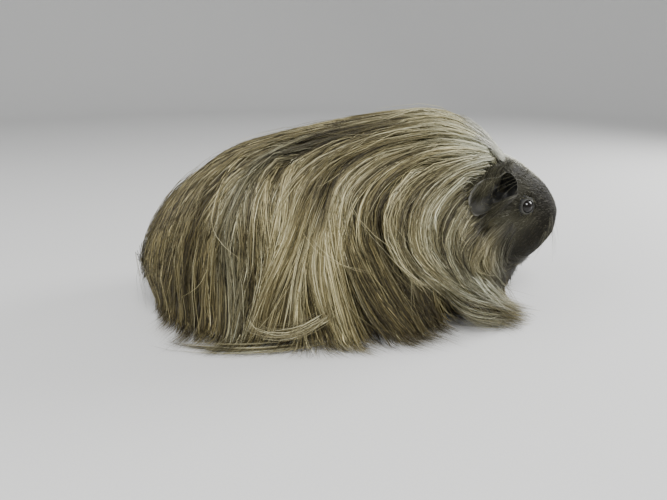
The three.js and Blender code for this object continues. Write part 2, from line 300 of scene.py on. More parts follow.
def net_normals(points, rows, columns):
    """Outward normals of a net whose rings run round the X axis."""
    p = points.reshape(rows, columns, 3)
    along = np.gradient(p, axis=0)
    around = np.roll(p, -1, 1) - np.roll(p, 1, 1)
    normals = unit(np.cross(along, around).reshape(-1, 3))
    middle = np.stack([points[:, 0], 0 * points[:, 0], axis_height(points[:, 0])], 1)
    facing = np.sign(np.sum(normals * (points - middle), 1))
    return normals * np.where(facing == 0, 1, facing)[:, None]


def ease_net(points, rows, columns, times):
    """Smooths a net of points, but for its first and last rings."""
    p = points.reshape(rows, columns, 3).copy()
    for _ in range(times):
        mean = (np.roll(p, 1, 1) + np.roll(p, -1, 1)) / 2
        mean[1:-1] = mean[1:-1] / 2 + (p[:-2] + p[2:]) / 4
        mean[0], mean[-1] = p[0], p[-1]
        p = p + (mean - p) * 0.5
    return p.reshape(-1, 3)


def skin_net():
    """The body's skin as rings of points from the rump to the nose, and the number of rings."""
    rear = TRUNK_END - (TRUNK_CAP - 0.1) * np.sin(np.linspace(np.pi / 2, 0, 16))
    trunk = np.linspace(TRUNK_END, HEAD_FROM + 1, 42)[1:-1]
    to_the_tip = 1 - (1 - np.linspace(0, 1, 120)) ** 1.45
    face = HEAD_FROM + 1 + (FRONT - 1.05 - HEAD_FROM) * to_the_tip
    stations = np.concatenate([rear, trunk, face])
    rows = len(stations)
    angles = np.linspace(-180, 180, SKIN_TURNS, endpoint=False)
    x, angle = (grid.ravel() for grid in np.meshgrid(stations, angles, indexing="ij"))
    points = ring_point(x, angle, skin_reach(x, angle))
    points = ease_net(points, rows, SKIN_TURNS, 6)
    points = shape_face(points, net_normals(points, rows, SKIN_TURNS))
    for name, side in SIDES.items():
        points = sink_socket(points, *eye_of(name), side)
    return points, rows


def skin_form_of(stations=150, turns=144):
    """The skin's reach as a form, for setting the hair's roots in it."""
    x = np.linspace(TRUNK_END - TRUNK_CAP + 0.5, FRONT - END_ROOM, stations)
    angles = np.linspace(-180, 180, turns + 1)
    across = [skin_reach(x, np.full(len(x), angle)) for angle in angles]
    return Form(x, np.stack(across, 1), angles)


skin_form = skin_form_of()


def closed_net(points, rows, columns):
    """Faces of a net of rings with a point at each end, and the points with those ends added."""
    quads = net_faces(rows, columns)[:, ::-1]
    here = np.arange(columns)
    beside = (here + 1) % columns
    last_ring = (rows - 1) * columns
    ends = [points[:columns].mean(0), points[-columns:].mean(0)]
    near_fan = np.stack([np.full(columns, len(points)), here, beside], 1)
    far_fan = np.stack([np.full(columns, len(points) + 1), last_ring + beside, last_ring + here], 1)
    return np.concatenate([points, ends]), quads, np.concatenate([near_fan, far_fan])


def step_between(t, start, start_slope, end, end_slope=0.0):
    """An eased step from start to end as t goes from 0 to 1, with the slope given at each end."""
    leave = (2 * t**3 - 3 * t**2 + 1) * start + (t**3 - 2 * t**2 + t) * start_slope
    return leave + (3 * t**2 - 2 * t**3) * end + (t**3 - t**2) * end_slope


def through(points):
    """A smooth curve through a few (place, value) points, level past its ends."""
    places, values = np.array(points, float).T
    slopes = np.gradient(values, places)

    def curve(place):
        place = np.clip(place, places[0], places[-1])
        i = np.clip(np.searchsorted(places, place, side="right") - 1, 0, len(places) - 2)
        span = places[i + 1] - places[i]
        t = (place - places[i]) / span
        return step_between(t, values[i], span * slopes[i], values[i + 1], span * slopes[i + 1])

    return curve


# ---------------------------------------------------------------- ears, lids, eyes, feet

# The ear's canal: its place and radius, and how the flap leans over it, up and forward.
EAR = {"x": 95.0, "y": 27.6, "z": 88.0, "canal": 2.6, "slope": 0.3, "rake": 0.13}
# How far the rim reaches from the canal and stands out from the head, by degrees from its front.
rim_reach = through(
    [(-100, 7.5), (-60, 7.2), (-20, 7.4), (20, 8.6), (60, 10.2), (97, 13), (128, 12.6), (150, 16.5)]
    + [(170, 21), (190, 24.4), (206, 25.2), (216, 23), (226, 16.5), (240, 11), (260, 7.5)]
)
rim_stand = through([(-100, 2), (-30, 3), (40, 6), (95, 9.5), (150, 10.5), (205, 8), (260, 2)])


def ear_point(side, degrees, t, lift):
    """A place on the ear: t is 0 at the canal and 1 at the rim. The front and top are a deep cup; a
    ridge parts it from the lobe behind, which is flatter and hangs a little."""
    a = np.radians(degrees)
    reach = EAR["canal"] + (rim_reach(degrees) - EAR["canal"]) * t
    lobe = smooth(degrees, 120, 165) * ebb(degrees, 235, 262)
    cup = rim_stand(degrees) * t**1.6 - 2.5 * (1 - t) ** 2
    flap = rim_stand(degrees) * (0.2 + 0.8 * smooth(t, 0.05, 0.5)) - 2.5 * (1 - t) ** 2
    flap = flap + 2.4 * bell(t - 0.34, 0.1) - 2.2 * smooth(t, 0.75, 1.0)
    stand = cup + (flap - cup) * lobe + lift
    curl = 0.9 * smooth(t, 0.86, 1.0) * (1 - lobe)
    ripple = 0.35 * np.sin(3 * a + 4 * t) * t * (1 - t) * 4 + 0.2 * np.sin(9 * a) * t**2
    dx, dz = (reach - curl) * np.cos(a), (reach - curl) * np.sin(a)
    out = EAR["y"] + stand + ripple - EAR["rake"] * dx - EAR["slope"] * dz
    return np.stack([EAR["x"] + dx, side * out, EAR["z"] + dz], -1)


def ear_net(side):
    """The ear's flap as a closed net: out along its front, over the thin rim and back behind. Also
    its faces and its colours: a painted highlight along the rim, and paler on the lobe behind."""
    turns, rows = 120, 18
    t = np.linspace(0, 1, rows)
    thick = 1.5 - 0.8 * t
    front = [(ti, th / 2) for ti, th in zip(t, thick)]
    rim = [(1.02, 0.16), (1.02, -0.16)]
    behind = [(ti, -th / 2) for ti, th in zip(t[::-1], thick[::-1])]
    degrees = np.linspace(-100, 260, turns, endpoint=False)
    wall = front + rim + behind
    points = np.stack([ear_point(side, degrees, ti, lift) for ti, lift in wall], 1)
    faces = net_faces(turns, len(wall), close_rows=True)
    inside = np.array([1.0] * rows + [0.5] * 2 + [0.0] * rows)
    edge = np.array([smooth(ti, 0.88, 1.0) for ti, _ in wall])
    lobe = smooth(degrees, 140, 185) * ebb(degrees, 240, 262)
    outer = smooth(np.array([ti for ti, _ in wall]), 0.36, 0.7)
    # the paler rim is a painted highlight where light catches the thin edge, strongest on the cup's
    # side
    tone = 0.006 + 0.012 * (1 - inside) + 0.16 * edge**5 * (0.4 + 0.6 * inside)
    tone = tone[None] + 0.042 * lobe[:, None] * outer[None]
    colours = tone.ravel()[:, None] * (1.0, 0.97, 0.84)
    return points.reshape(-1, 3), faces if side > 0 else faces[:, ::-1], colours


def lid_net(name, side, tree):
    """The eyelids: from the fine bare rim on the eyeball out to the skin of the face. Each row of
    the net is (distance from the gaze's axis, height along it)."""
    centre, radius = eye_of(name)
    ahead, forward, up = eye_axes(side)
    turns = 96
    turn = np.linspace(0, 2 * np.pi, turns, endpoint=False)
    across = np.cos(turn)[:, None] * forward + np.sin(turn)[:, None] * up
    opening = 4.0 + 0.12 * np.sin(turn) ** 2 + 0.12 * np.cos(turn)
    rim = np.sqrt(radius**2 - opening**2)  # the eyeball's height where the lids open
    ground = np.zeros(turns)  # the face's height at the lids' outer edge
    above = 25.0
    for i, way in enumerate(across):
        start = centre + way * LID_REACH + ahead * above
        hit = tree.ray_cast(start.tolist(), (-ahead).tolist())
        if hit[0] is not None:
            ground[i] = above - hit[3]
    rows = [(opening - 0.5, rim - 0.9), (opening - 0.22, rim - 0.1), (opening - 0.05, rim + 0.25)]
    rows += [(opening + 0.12, rim + 0.42), (opening + 0.35, rim + 0.45)]
    first, last = opening + 0.35, LID_REACH
    high, low = rim + 0.45, ground - 0.35
    for t in np.linspace(0, 1, 13)[1:]:
        reach = first + (last - first) * t
        height = step_between(t, high, -0.85 * (last - first), low)
        crease = 0.22 * bell(t - 0.3, 0.07)
        crease = crease + 0.14 * bell(t - 0.55, 0.06) * (0.5 + 0.5 * np.sin(turn))
        rows.append((reach, height - crease))
    rows.append((np.full(turns, LID_REACH - 0.5), ground - 1.6))
    rows.append((opening + 0.6, rim - 2.0))
    net = [centre + across * reach[:, None] + ahead * height[:, None] for reach, height in rows]
    faces = net_faces(len(rows), turns, close_rows=True)
    tone = np.full(len(rows), 0.010)
    tone[:9] = (0.008, 0.008, 0.012, 0.04, 0.075, 0.07, 0.05, 0.03, 0.018)
    # round the ring the lids are paler above and below the eye, and darker before and behind it
    uneven_ring = 0.55 + 0.45 * np.sin(turn - 0.4) ** 2
    colours = (tone[:, None] * uneven_ring[None]).ravel()[:, None] * (1.0, 0.98, 0.86)
    return np.concatenate(net), faces if side < 0 else faces[:, ::-1], colours


def deselect():
    bpy.ops.object.select_all(action="DESELECT")


def activate(obj):
    deselect()
    obj.select_set(True)
    bpy.context.view_layer.objects.active = obj


def apply_modifier(obj, kind, **settings):
    """Adds a modifier with its settings and applies it."""
    activate(obj)
    modifier = obj.modifiers.new(kind.lower(), kind)
    for key, value in settings.items():
        setattr(modifier, key, value)
    bpy.ops.object.modifier_apply(modifier=modifier.name)


def make_eye(name, side):
    """An eyeball with a slightly bulged cornea, its pole along the gaze."""
    centre, radius = eye_of(name)
    deselect()
    ball = (radius - 0.1) * MM
    bpy.ops.mesh.primitive_uv_sphere_add(segments=64, ring_count=40, radius=ball)
    eye = bpy.context.object
    eye.name = f"eyeball_{name}"
    for v in eye.data.vertices:
        cornea = smooth(v.co.z / (radius * MM), 0.55, 1.0)
        v.co *= 1 + 0.03 * float(cornea)
    eye.rotation_euler = Vector(gaze(side)).to_track_quat("Z", "Y").to_euler()
    eye.location = centre * MM
    activate(eye)
    bpy.ops.object.transform_apply(location=True, rotation=True, scale=True)
    bpy.ops.object.shade_smooth()
    return eye


# Each foot's place, its leg's height, its length and width over all, and its toes.
FEET = {
    "fore": {"x": 68.0, "y": 23.0, "leg": 25.0, "length": 20.0, "width": 11.0, "toes": 4},
    "hind": {"x": -66.0, "y": 33.0, "leg": 22.0, "length": 34.0, "width": 14.0, "toes": 3},
}
SOLE = 0.4  # the height of the soles over the floor
CLAW_WIDTH = 2.1


def toe_places(foot, side):
    """Each toe's start, heading and reach."""
    for i in range(foot["toes"]):
        spread = (i - (foot["toes"] - 1) / 2) / foot["toes"] * 0.9 + side * 0.12
        reach = foot["length"] * (0.62 - 0.3 * spread * spread)
        heading = np.array([math.cos(spread), math.sin(spread), 0.0])
        start = np.array([foot["x"], side * foot["y"], 0.0])
        yield start, heading, reach


def add_ball(place, size, turn=0.0):
    """A ball stretched to its three half sizes."""
    deselect()
    place = np.array(place) * MM
    bpy.ops.mesh.primitive_uv_sphere_add(segments=24, ring_count=16, radius=MM, location=place)
    ball = bpy.context.object
    ball.scale = size
    ball.rotation_euler = (0, 0, turn)
    return ball


def make_foot(name, foot, side):
    """A leg, pad and toes pressed into one soft foot whose sole lies on the floor."""
    x, y, length, width = foot["x"], side * foot["y"], foot["length"], foot["width"]
    leg, pad = (x - length * 0.2, y, foot["leg"] * 0.6), (x - length * 0.05, y, 3.6)
    balls = [
        add_ball(leg, (width * 0.62, width * 0.58, width * 0.95)),
        add_ball(pad, (length * 0.48, width * 0.47, width * 0.33)),
    ]
    for start, heading, reach in toe_places(foot, side):
        turn = math.atan2(heading[1], heading[0])
        balls.append(add_ball(start + heading * reach * 0.72 + (0, 0, 2.7), (5.4, 2.1, 2.3), turn))
        balls.append(add_ball(start + heading * reach * 0.98 + (0, 0, 2.2), (3.0, 1.9, 1.9), turn))
    activate(balls[0])
    for ball in balls:
        ball.select_set(True)
    bpy.ops.object.join()
    obj = bpy.context.object
    obj.name = name
    bpy.ops.object.transform_apply(location=True, rotation=True, scale=True)
    apply_modifier(obj, "REMESH", mode="VOXEL", voxel_size=0.9 * MM)
    apply_modifier(obj, "SMOOTH", factor=0.5, iterations=3)
    for v in obj.data.vertices:
        v.co.z = max(v.co.z, SOLE * MM)
    bpy.ops.object.shade_smooth()
    return obj


def mesh_arrays(obj):
    """An object's points in millimetres and its faces as triangles."""
    mesh = obj.data
    mesh.calc_loop_triangles()
    points = np.empty(len(mesh.vertices) * 3)
    mesh.vertices.foreach_get("co", points)
    faces = np.empty(len(mesh.loop_triangles) * 3, np.int32)
    mesh.loop_triangles.foreach_get("vertices", faces)
    return points.reshape(-1, 3) / MM, faces.reshape(-1, 3)


def claw_lines(foot, side, points=9):
    """The middle line of each claw: out of the toe and curved down to the floor."""
    t = np.linspace(0, 1, points)
    for start, heading, reach in toe_places(foot, side):
        root = start + heading * (reach * 0.98 + 0.6) + (0, 0, 2.9)
        drop = np.outer(0.2 * t + 2.0 * t**2, (0, 0, 1.0))
        yield root + np.outer(6.2 * t, heading) - drop


# ---------------------------------------------------------------- the lie of the hair

DEGREE = 1.15  # millimetres along the coat for a degree round it, on average
LIE_STEP = 3.0  # how far apart the lie is worked out, in millimetres and in degrees
STROKE_HOLD = 4.0  # within this distance a stroke rules the lie alone
COMB_STEPS = 32  # the steps that a lock's line is combed in


def line_curves(line):
    """A line's length, and its smooth curves by the distance along it, one for each way."""
    steps = np.linalg.norm(np.diff(line, axis=0), axis=1)
    lengths = np.concatenate([[0], np.cumsum(steps)])
    return lengths[-1], [through(list(zip(lengths, way))) for way in line.T]


def evenly(stroke, step=4.0):
    """Places every so many millimetres along a stroke, with the angle turned into millimetres."""
    length, curves = line_curves(np.array(stroke, float) * (1, DEGREE))
    along = np.arange(0, length + 0.1, step)
    return np.stack([curve(along) for curve in curves], 1)


class Lie:
    """Which way the hair lies, drawn from combing strokes: each is a list of (x, angle) places
    that a hair passes from root to tip, on either side of the body."""

    def __init__(self, strokes):
        places, ways = [], []
        for stroke in strokes:
            line = evenly(stroke)
            places.append(line)
            ways.append(unit(np.gradient(line, axis=0)))
        places, ways = np.concatenate(places), np.concatenate(ways)
        self.x = np.arange(-148, 149, LIE_STEP)
        self.angle = np.arange(0, 181, LIE_STEP)
        x, a = np.meshgrid(self.x, self.angle, indexing="ij")
        here = np.stack([x.ravel(), a.ravel() * DEGREE], 1)
        apart = ((here[:, None] - places[None]) ** 2).sum(-1)
        weight = 1 / (apart + STROKE_HOLD**2) ** 2
        self.ways = unit(weight @ ways).reshape(len(self.x), len(self.angle), 2)

    def way(self, x, angle):
        """The heading at a place, in millimetres along X and round the body."""
        i = np.clip((x - self.x[0]) / LIE_STEP, 0, len(self.x) - 1.001)
        j = np.clip(np.abs(angle) / LIE_STEP, 0, len(self.angle) - 1.001)
        i0, j0 = i.astype(int), j.astype(int)
        u, v = (i - i0)[:, None], (j - j0)[:, None]
        w = self.ways
        near = w[i0, j0] * (1 - u) * (1 - v) + w[i0 + 1, j0] * u * (1 - v)
        near = near + w[i0, j0 + 1] * (1 - u) * v + w[i0 + 1, j0 + 1] * u * v
        return unit(near)


def comb(lie, x, angle, length, side, veer):
    """Lays a lock's line from each root along the lie: its places along X and round the body."""
    xs, angles = [x], [angle]
    step = length / COMB_STEPS
    cos, sin = np.cos(veer), np.sin(veer)
    for _ in range(COMB_STEPS):
        way = lie.way(x, angle)
        dx, da = way[:, 0] * cos - way[:, 1] * sin, way[:, 0] * sin + way[:, 1] * cos
        radius = coat_form.radius
        reach = np.maximum(radius(x, angle * side), 8)
        slope = (radius(x + 1.5, angle * side) - radius(x - 1.5, angle * side)) / 3
        lean = (radius(x, (angle + 2) * side) - radius(x, (angle - 2) * side)) / 4
        lean = lean / (reach * math.pi / 180)
        rise = np.sqrt(1 + (dx * slope + da * lean) ** 2)
        x = np.clip(x + dx * step / rise, REAR + 0.8, FRONT - 4)
        angle = np.abs(angle + np.degrees(da * step / rise / reach))
        xs.append(x)
        angles.append(angle)
    return np.stack(xs, 1), np.stack(angles, 1)


def along_lines(lines, which, t):
    """Places at t (0 root, 1 tip) along chosen lines of evenly spaced points."""
    last = lines.shape[1] - 1
    place = np.clip(t, 0, 1) * last
    i = np.minimum(place.astype(int), last - 1)
    u = place - i
    own = which[:, None]
    return lines[own, i] * (1 - u) + lines[own, i + 1] * u


def even_bends(xs, angles, end, which, start, finish, count):
    """Where along its lock each point of a hair lies: closer together where the lock bends, and
    where it turns out along the floor."""
    grid = np.linspace(0, 1.6, 49)
    steps = xs.shape[1] - 1
    heading = np.unwrap(np.arctan2(np.gradient(angles, axis=1), np.gradient(xs, axis=1)), axis=1)
    rate = np.abs(np.gradient(heading, axis=1)) * steps
    t = np.empty((len(which), count))
    u = np.linspace(0, 1, count)
    order = np.argsort(which, kind="stable")
    edges = np.searchsorted(which[order], np.arange(len(xs) + 1))
    for lock in range(len(xs)):
        own = order[edges[lock] : edges[lock + 1]]
        bend = np.interp(grid, np.linspace(0, 1, steps + 1), rate[lock]) * (grid < end[lock])
        closer = 1 + 0.35 * bend + 6 * bell(grid - end[lock], 0.1)
        total = np.concatenate([[0], np.cumsum((closer[1:] + closer[:-1]) / 2)])
        first = np.interp(start[own], grid, total)[:, None]
        last = np.interp(finish[own], grid, total)[:, None]
        t[own] = np.interp(first + (last - first) * u, total, grid)
    return t


HAIR_POINTS = 9
ROOT_DIVE = 4.5  # how far a hair's root lies under the hair above it
SHORTEST_PART = 0.12  # a hair that shows less than this part of its lock is left out
FLOOR_REST = 0.4  # how high the lowest hair lies
FLOOR_NEAR = 9.0  # the height where hair that hangs down starts to turn out along the floor
FLOOR_BEND = 9.0  # how long that bend is
UNDERSIDE = 176.0  # the angle round the body where hair from the side ends
WIDEST = 85.5  # the farthest a hair's point lies out from the middle
WIDE_FROM = 76.0  # from here out it is eased in


def lock_ends(spec, length, xs, angles, side):
    """Where each lock's line reaches the hem, and how much farther its hair runs along the floor,
    both as parts of its length. It runs less at the rear."""
    height = coat_form.point(xs, angles * side)[..., 2]
    near_floor = height < FLOOR_NEAR
    low = near_floor | (angles > UNDERSIDE)
    last = xs.shape[1] - 1
    end = np.where(low.any(1), low.argmax(1), last) / last
    run = rng.uniform(0.4, 1, len(xs)) * spec["run"] / length
    return end, run * near_floor.any(1) * (1 - 0.75 * ebb(xs[:, -1], -125, -105))


def hair_spans(spec, end, run, inside):
    """The lock that each hair belongs to, and where along it the hair starts and finishes."""
    which = np.repeat(np.arange(len(end)), spec["hairs"])
    start = rng.uniform(0, spec["stagger"], len(which))
    finish = (end + run)[which] * rng.uniform(spec["shortest"], 1.0, len(which))
    keep = (finish - start > SHORTEST_PART) & inside[which]
    return which[keep], start[keep], finish[keep]


def across_lock(spec, which, locks_count, t, u):
    """Each hair's seat across its lock, from -1 to 1, and how far it lies from the lock's line."""
    total = len(which)
    half = (rng.uniform(*spec["width"], locks_count) / 2)[which]
    seat = np.clip(rng.normal(0, 0.55, total), -1.2, 1.2)
    spread = 1 - spec["gather"] * smooth(t, 0, 0.8)
    waves = rng.uniform(0.5, 1.2, total)[:, None] * u + rng.uniform(0, 1, total)[:, None]
    wave = spec["wave"] * np.sin(2 * np.pi * waves) * u
    splay = spec["splay"] * rng.normal(0, 1, total)[:, None] * smooth(u, 0.6, 1.2)
    return seat, (half * seat)[:, None] * spread + wave + splay


def hair_depth(spec, which, locks_count, seat, u, px, angle):
    """How deep each point of the hairs lies in the coat. The roots dive under the hair above."""
    total = len(which)
    lock_depth = rng.uniform(*spec["layer"], locks_count)[which][:, None]
    depth = lock_depth + rng.gamma(1.5, 0.45, total)[:, None] + spec["round"] * seat[:, None] ** 2
    depth = depth + coat_groove(px, angle)
    depth = depth - spec["lift"] * rng.exponential(1, total)[:, None] * smooth(u, 0.7, 1.2)
    skin_gap = np.maximum(coat_form.radius(px, angle) - skin_form.radius(px, angle), 0.5)
    depth = np.minimum(depth, skin_gap * 0.92)
    root_depth = np.minimum(skin_gap + 0.6, depth + ROOT_DIVE)
    return depth + (root_depth - depth) * (1 - smooth(u, 0, spec["rise"]))


def lock_hairs(lie, side, roots, spec):
    """The hairs of many locks. Each lock follows one combed line; its hairs start spread over the
    lock's width and draw together towards its tip, and what reaches the floor runs out along it."""
    x, angle = roots
    count = len(x)
    length = rng.uniform(*spec["length"], count)
    veer = np.radians(rng.normal(0, spec["veer"], count))
    xs, angles = comb(lie, x, angle, length, side, veer)
    end, run = lock_ends(spec, length, xs, angles, side)
    which, start, finish = hair_spans(spec, end, run, xs.min(1) > REAR + 1.0)
    t = even_bends(xs, angles, end, which, start, finish, spec["points"])
    u = (t - start[:, None]) / (finish - start)[:, None]
    past = (t - end[which][:, None]) * length[which][:, None]
    t = np.minimum(t, end[which][:, None])
    px, pa = along_lines(xs, which, t), along_lines(angles, which, t)
    reach = np.maximum(coat_form.radius(px, pa * side), 6)
    line_way = [np.gradient(line, axis=1) for line in (xs, angles)]
    ahead = np.stack([along_lines(way, which, t) for way in line_way], -1)
    ahead[..., 1] *= reach * math.pi / 180
    ahead = unit(ahead)
    seat, offset = across_lock(spec, which, count, t, u)
    px = px - ahead[..., 1] * offset
    pa = pa + np.degrees(ahead[..., 0] * offset / reach)
    depth = hair_depth(spec, which, count, seat, u, px, pa * side)
    points = coat_form.point(px, pa * side, depth)
    middle = np.stack([px, 0 * px, axis_height(px)], -1)
    outward = unit(coat_form.point(px, pa * side) - middle)
    return {
        "points": lay_on_floor(points, outward, past, ahead[..., 0]),
        "outward": outward,
        "which": which,
        "locks": count,
        "root": np.stack([px[:, 0], pa[:, 0] * side], 1),
        "passes": np.stack([px, pa * side], 2)[:, [1, spec["points"] // 2, -2]],
        "u": u,
    }


def hem_sweep(x):
    """Which way the hem's tips turn on the floor: back behind the middle, forward before it."""
    return -0.9 + 1.6 * smooth(x, -60, 5)


def lay_on_floor(points, outward, past, travel):
    """Turns the hair that is past the hem out along the floor, in an easy bend."""
    total = len(points)
    tip_x = points[:, -1, 0]
    sway = travel[:, -1] + hem_sweep(tip_x) + rng.normal(0, 0.3, total)
    hip = ebb(tip_x, -90, -55) * smooth(tip_x, -128, -112)
    out = np.sign(outward[:, -1, 1]) * (rng.uniform(0.2, 0.9, total) + 1.3 * hip)
    way = unit(np.stack([sway, out, 0 * out], 1))
    lead = FLOOR_BEND**2 / 4 / (FLOOR_BEND + 8)
    bend = (np.sqrt(past**2 + FLOOR_BEND**2) + past) / 2 - lead
    points = points + np.maximum(bend, 0)[..., None] * way[:, None]
    rest = FLOOR_REST + rng.gamma(1.2, 0.7, total)[:, None]
    above = points[..., 2] - rest - FLOOR_NEAR * smooth(past, -5, 12)
    points[..., 2] = rest + (np.sqrt(above**2 + 1.5) + above) / 2
    return keep_in(points)


def keep_in(points):
    """Eases what would spread too far to the sides back to the widest place."""
    out = np.abs(points[..., 1])
    room = WIDEST - WIDE_FROM
    eased = np.where(out > WIDE_FROM, WIDE_FROM + room * np.tanh((out - WIDE_FROM) / room), out)
    points[..., 1] = np.sign(points[..., 1]) * eased
    return points


def far_shift(angle):
    """How far along the body the left side's locks fall from the right side's, in millimetres."""
    return 6 * np.sin(np.radians(2 * np.abs(angle) + 30)) - 2


def shifted(strokes):
    """The same strokes as the left side wears them."""
    return [[(x + float(far_shift(a)), a) for x, a in stroke] for stroke in strokes]


# Combing strokes of the body, on the right side: (x, angle) from root to tip.
SPINE = [
    (60, 4), (30, 4), (0, 4), (-30, 4), (-57, 5), (-80, 9), (-104, 16), (-122, 28), (-134, 50),
    (-139, 90),
]
REAR_END = [(-118, 4), (-131, 10), (-139, 30), (-141, 70), (-141, 110), (-140, 150)]
RUMP_EDGE = [
    (-57, 4), (-77, 14), (-93, 22), (-108, 34), (-119, 46), (-127, 58), (-131, 78), (-129, 103),
    (-125, 128),
]
RUMP = [
    (-41, 12), (-62, 15), (-77, 25), (-90, 37), (-100, 54), (-108, 71), (-114, 86), (-118, 102),
    (-120, 122),
]
HIP = [(-32, 20), (-50, 23), (-64, 33), (-76, 47), (-83, 62), (-87, 76), (-90, 94), (-91, 122)]
SILVER_LOCK = [
    (-28, 24), (-45, 26), (-57, 34), (-65, 47), (-71, 60), (-73, 71), (-72, 84), (-70, 96),
    (-68, 122),
]
HIP_PARTING = [
    (-44, 23), (-50, 30), (-56, 40), (-59, 54), (-59, 68), (-57, 84), (-56, 100), (-57, 122),
]
CREAM_AND_SHEEN_BAND = [
    (-28, 30), (-33, 36), (-36, 44), (-38, 55), (-39, 65), (-41, 75), (-46, 87), (-53, 101),
    (-60, 122),
]
FLANK = [
    (-2, 26), (-12, 31), (-21, 39), (-26, 48), (-28, 57), (-33, 68), (-39, 79), (-45, 91),
    (-54, 108), (-58, 122),
]
FLANK_PARTING = [(-14, 46), (-17, 55), (-24, 67), (-29, 78), (-29, 90), (-25, 102), (-18, 118)]
FAN_LEFT = [(-12, 48), (-17, 60), (-22, 74), (-22, 90), (-18, 104), (-12, 120)]
FAN_MIDDLE = [(-11, 48), (-13, 62), (-12, 79), (-9, 95), (-6, 110), (-4, 122)]
FAN_RIGHT = [(-9, 50), (-6, 62), (-2, 73), (3, 88), (11, 103), (20, 115), (28, 124)]
LOW_SHOULDER = [(-2, 56), (4, 71), (12, 86), (20, 101), (29, 115), (38, 132)]
BACK_TURN = [(43, 26), (19, 37), (6, 46), (-1, 55), (-3, 68), (2, 84), (12, 102), (22, 118)]
BACK_FALL = [(27, 16), (7, 22), (-13, 33), (-22, 44), (-27, 53), (-31, 68), (-38, 82)]

BODY_STROKES = [SPINE, REAR_END, RUMP_EDGE, RUMP, HIP, SILVER_LOCK, HIP_PARTING, CREAM_AND_SHEEN_BAND, FLANK]
BODY_STROKES += [FAN_LEFT, FAN_MIDDLE, FAN_RIGHT, LOW_SHOULDER, BACK_TURN, BACK_FALL]
BODY_STROKES += [[(60, 40), (50, 60), (50, 85), (56, 110), (62, 136)]]
BODY_STROKES += [[(85, 60), (82, 85), (86, 110), (92, 138)]]

# The mane's strokes: back from behind the ear, round, down, and forward to the chest.
CREST = [(92, 5), (76, 6), (52, 6), (30, 7), (8, 10), (-14, 15)]
CREST_SIDE = [(87, 15), (68, 12), (48, 14), (17, 20), (-6, 28)]
NECK_RAY = [(87, 20), (61, 22), (34, 28), (10, 36), (-4, 48), (-8, 62)]
MANE_EDGE = [
    (86, 24), (77, 25), (45, 31), (24, 41), (13, 52), (11, 62), (15, 73), (23, 85), (38, 99),
    (56, 117), (75, 134),
]
MANE_OUTER = [
    (87, 21), (64, 28), (41, 38), (28, 49), (23, 60), (24, 71), (31, 82), (44, 94), (62, 109),
    (84, 128),
]
MANE_MIDDLE = [
    (86, 23), (70, 30), (50, 41), (38, 53), (34, 64), (36, 75), (45, 87), (61, 103), (83, 123),
    (96, 140),
]
MANE_INNER = [
    (84, 28), (66, 38), (53, 49), (46, 58), (45, 70), (51, 82), (64, 96), (87, 123), (98, 140),
]
EAR_SHADE = [(86, 34), (76, 41), (60, 57), (56, 68), (59, 80), (70, 95), (90, 121), (100, 142)]
CHEEK_BACK = [(93, 62), (77, 65), (67, 74), (66, 86), (76, 103), (92, 126), (104, 146)]
CHEEK_FRONT = [(105, 82), (91, 86), (79, 85), (77, 96), (88, 118), (100, 140)]
THROAT = [(116, 74), (105, 86), (94, 95), (87, 103), (93, 124), (106, 142)]
BEARD = [(106, 112), (98, 120), (95, 130), (101, 142), (114, 150)]
BIB = [(106, 150), (103, 160), (104, 172)]

MANE_STROKES = [CREST, CREST_SIDE, NECK_RAY, MANE_EDGE, MANE_OUTER, MANE_MIDDLE, MANE_INNER]
MANE_STROKES += [EAR_SHADE, CHEEK_BACK, CHEEK_FRONT, THROAT, BEARD, BIB]

RIGHT, LEFT = 1, -1  # the sign of the angle round the body on each side
body_lie = {RIGHT: Lie(BODY_STROKES), LEFT: Lie(shifted(BODY_STROKES))}
mane_lie = {RIGHT: Lie(MANE_STROKES), LEFT: Lie(shifted(MANE_STROKES))}


# ---------------------------------------------------------------- markings, with painted light and shade on the coat

BASE_PALE, BASE_SILVER = 0.37, 0.30  # the coat's tone where no patch or streak changes it
DARK_HAIR = np.array([0.026, 0.021, 0.010])
MID_HAIR = np.array([0.208, 0.182, 0.094])
PALE_HAIR = np.array([0.820, 0.775, 0.520])
SILVER = np.array([0.92, 1.0, 1.16])
WARM = np.array([1.08, 1.0, 0.78])

# Soft patches of the coat: middle and size as (x, angle), how much paler, how much more silver.
PATCHES = [
    # paler hair on the crest, with a painted sheen where its top faces the light
    ((58, 13), (34, 20), 0.34, 0.20),
    ((-24, 50), (13, 15), -0.13, 0.00),
    ((86, 16), (18, 16), 0.44, 0.30),
    ((74, 46), (12, 16), -0.16, 0.20),
    ((62, 62), (26, 36), 0.06, 0.30),
    ((84, 112), (24, 30), 0.26, 0.30),
    # cream hair, with a painted highlight where the light catches this band
    ((-38, 72), (13, 28), 0.14, -0.10),
    # paler hair, with a painted highlight on the middle of the fan
    ((-12, 84), (13, 30), 0.27, -0.10),
    # paler hair, with a painted highlight on the left of the fan
    ((-19, 104), (13, 18), 0.22, 0.00),
    ((-112, 70), (26, 60), -0.10, -0.10),
    # painted shade in the hollow between the body and the mane
    ((12, 64), (9, 22), -0.25, 0.00),
    ((-22, 27), (26, 9), -0.15, 0.00),
    ((77, 66), (9, 14), -0.20, 0.20),
    ((40, 124), (40, 16), -0.22, -0.10),
    ((-50, 122), (80, 14), -0.16, -0.10),
    ((-46, 12), (44, 15), -0.08, 0.00),
    ((-13, 25), (22, 8), -0.10, 0.00),
    ((-4, 13), (26, 11), -0.15, 0.00),
    ((72, 26), (18, 14), 0.17, 0.10),
]
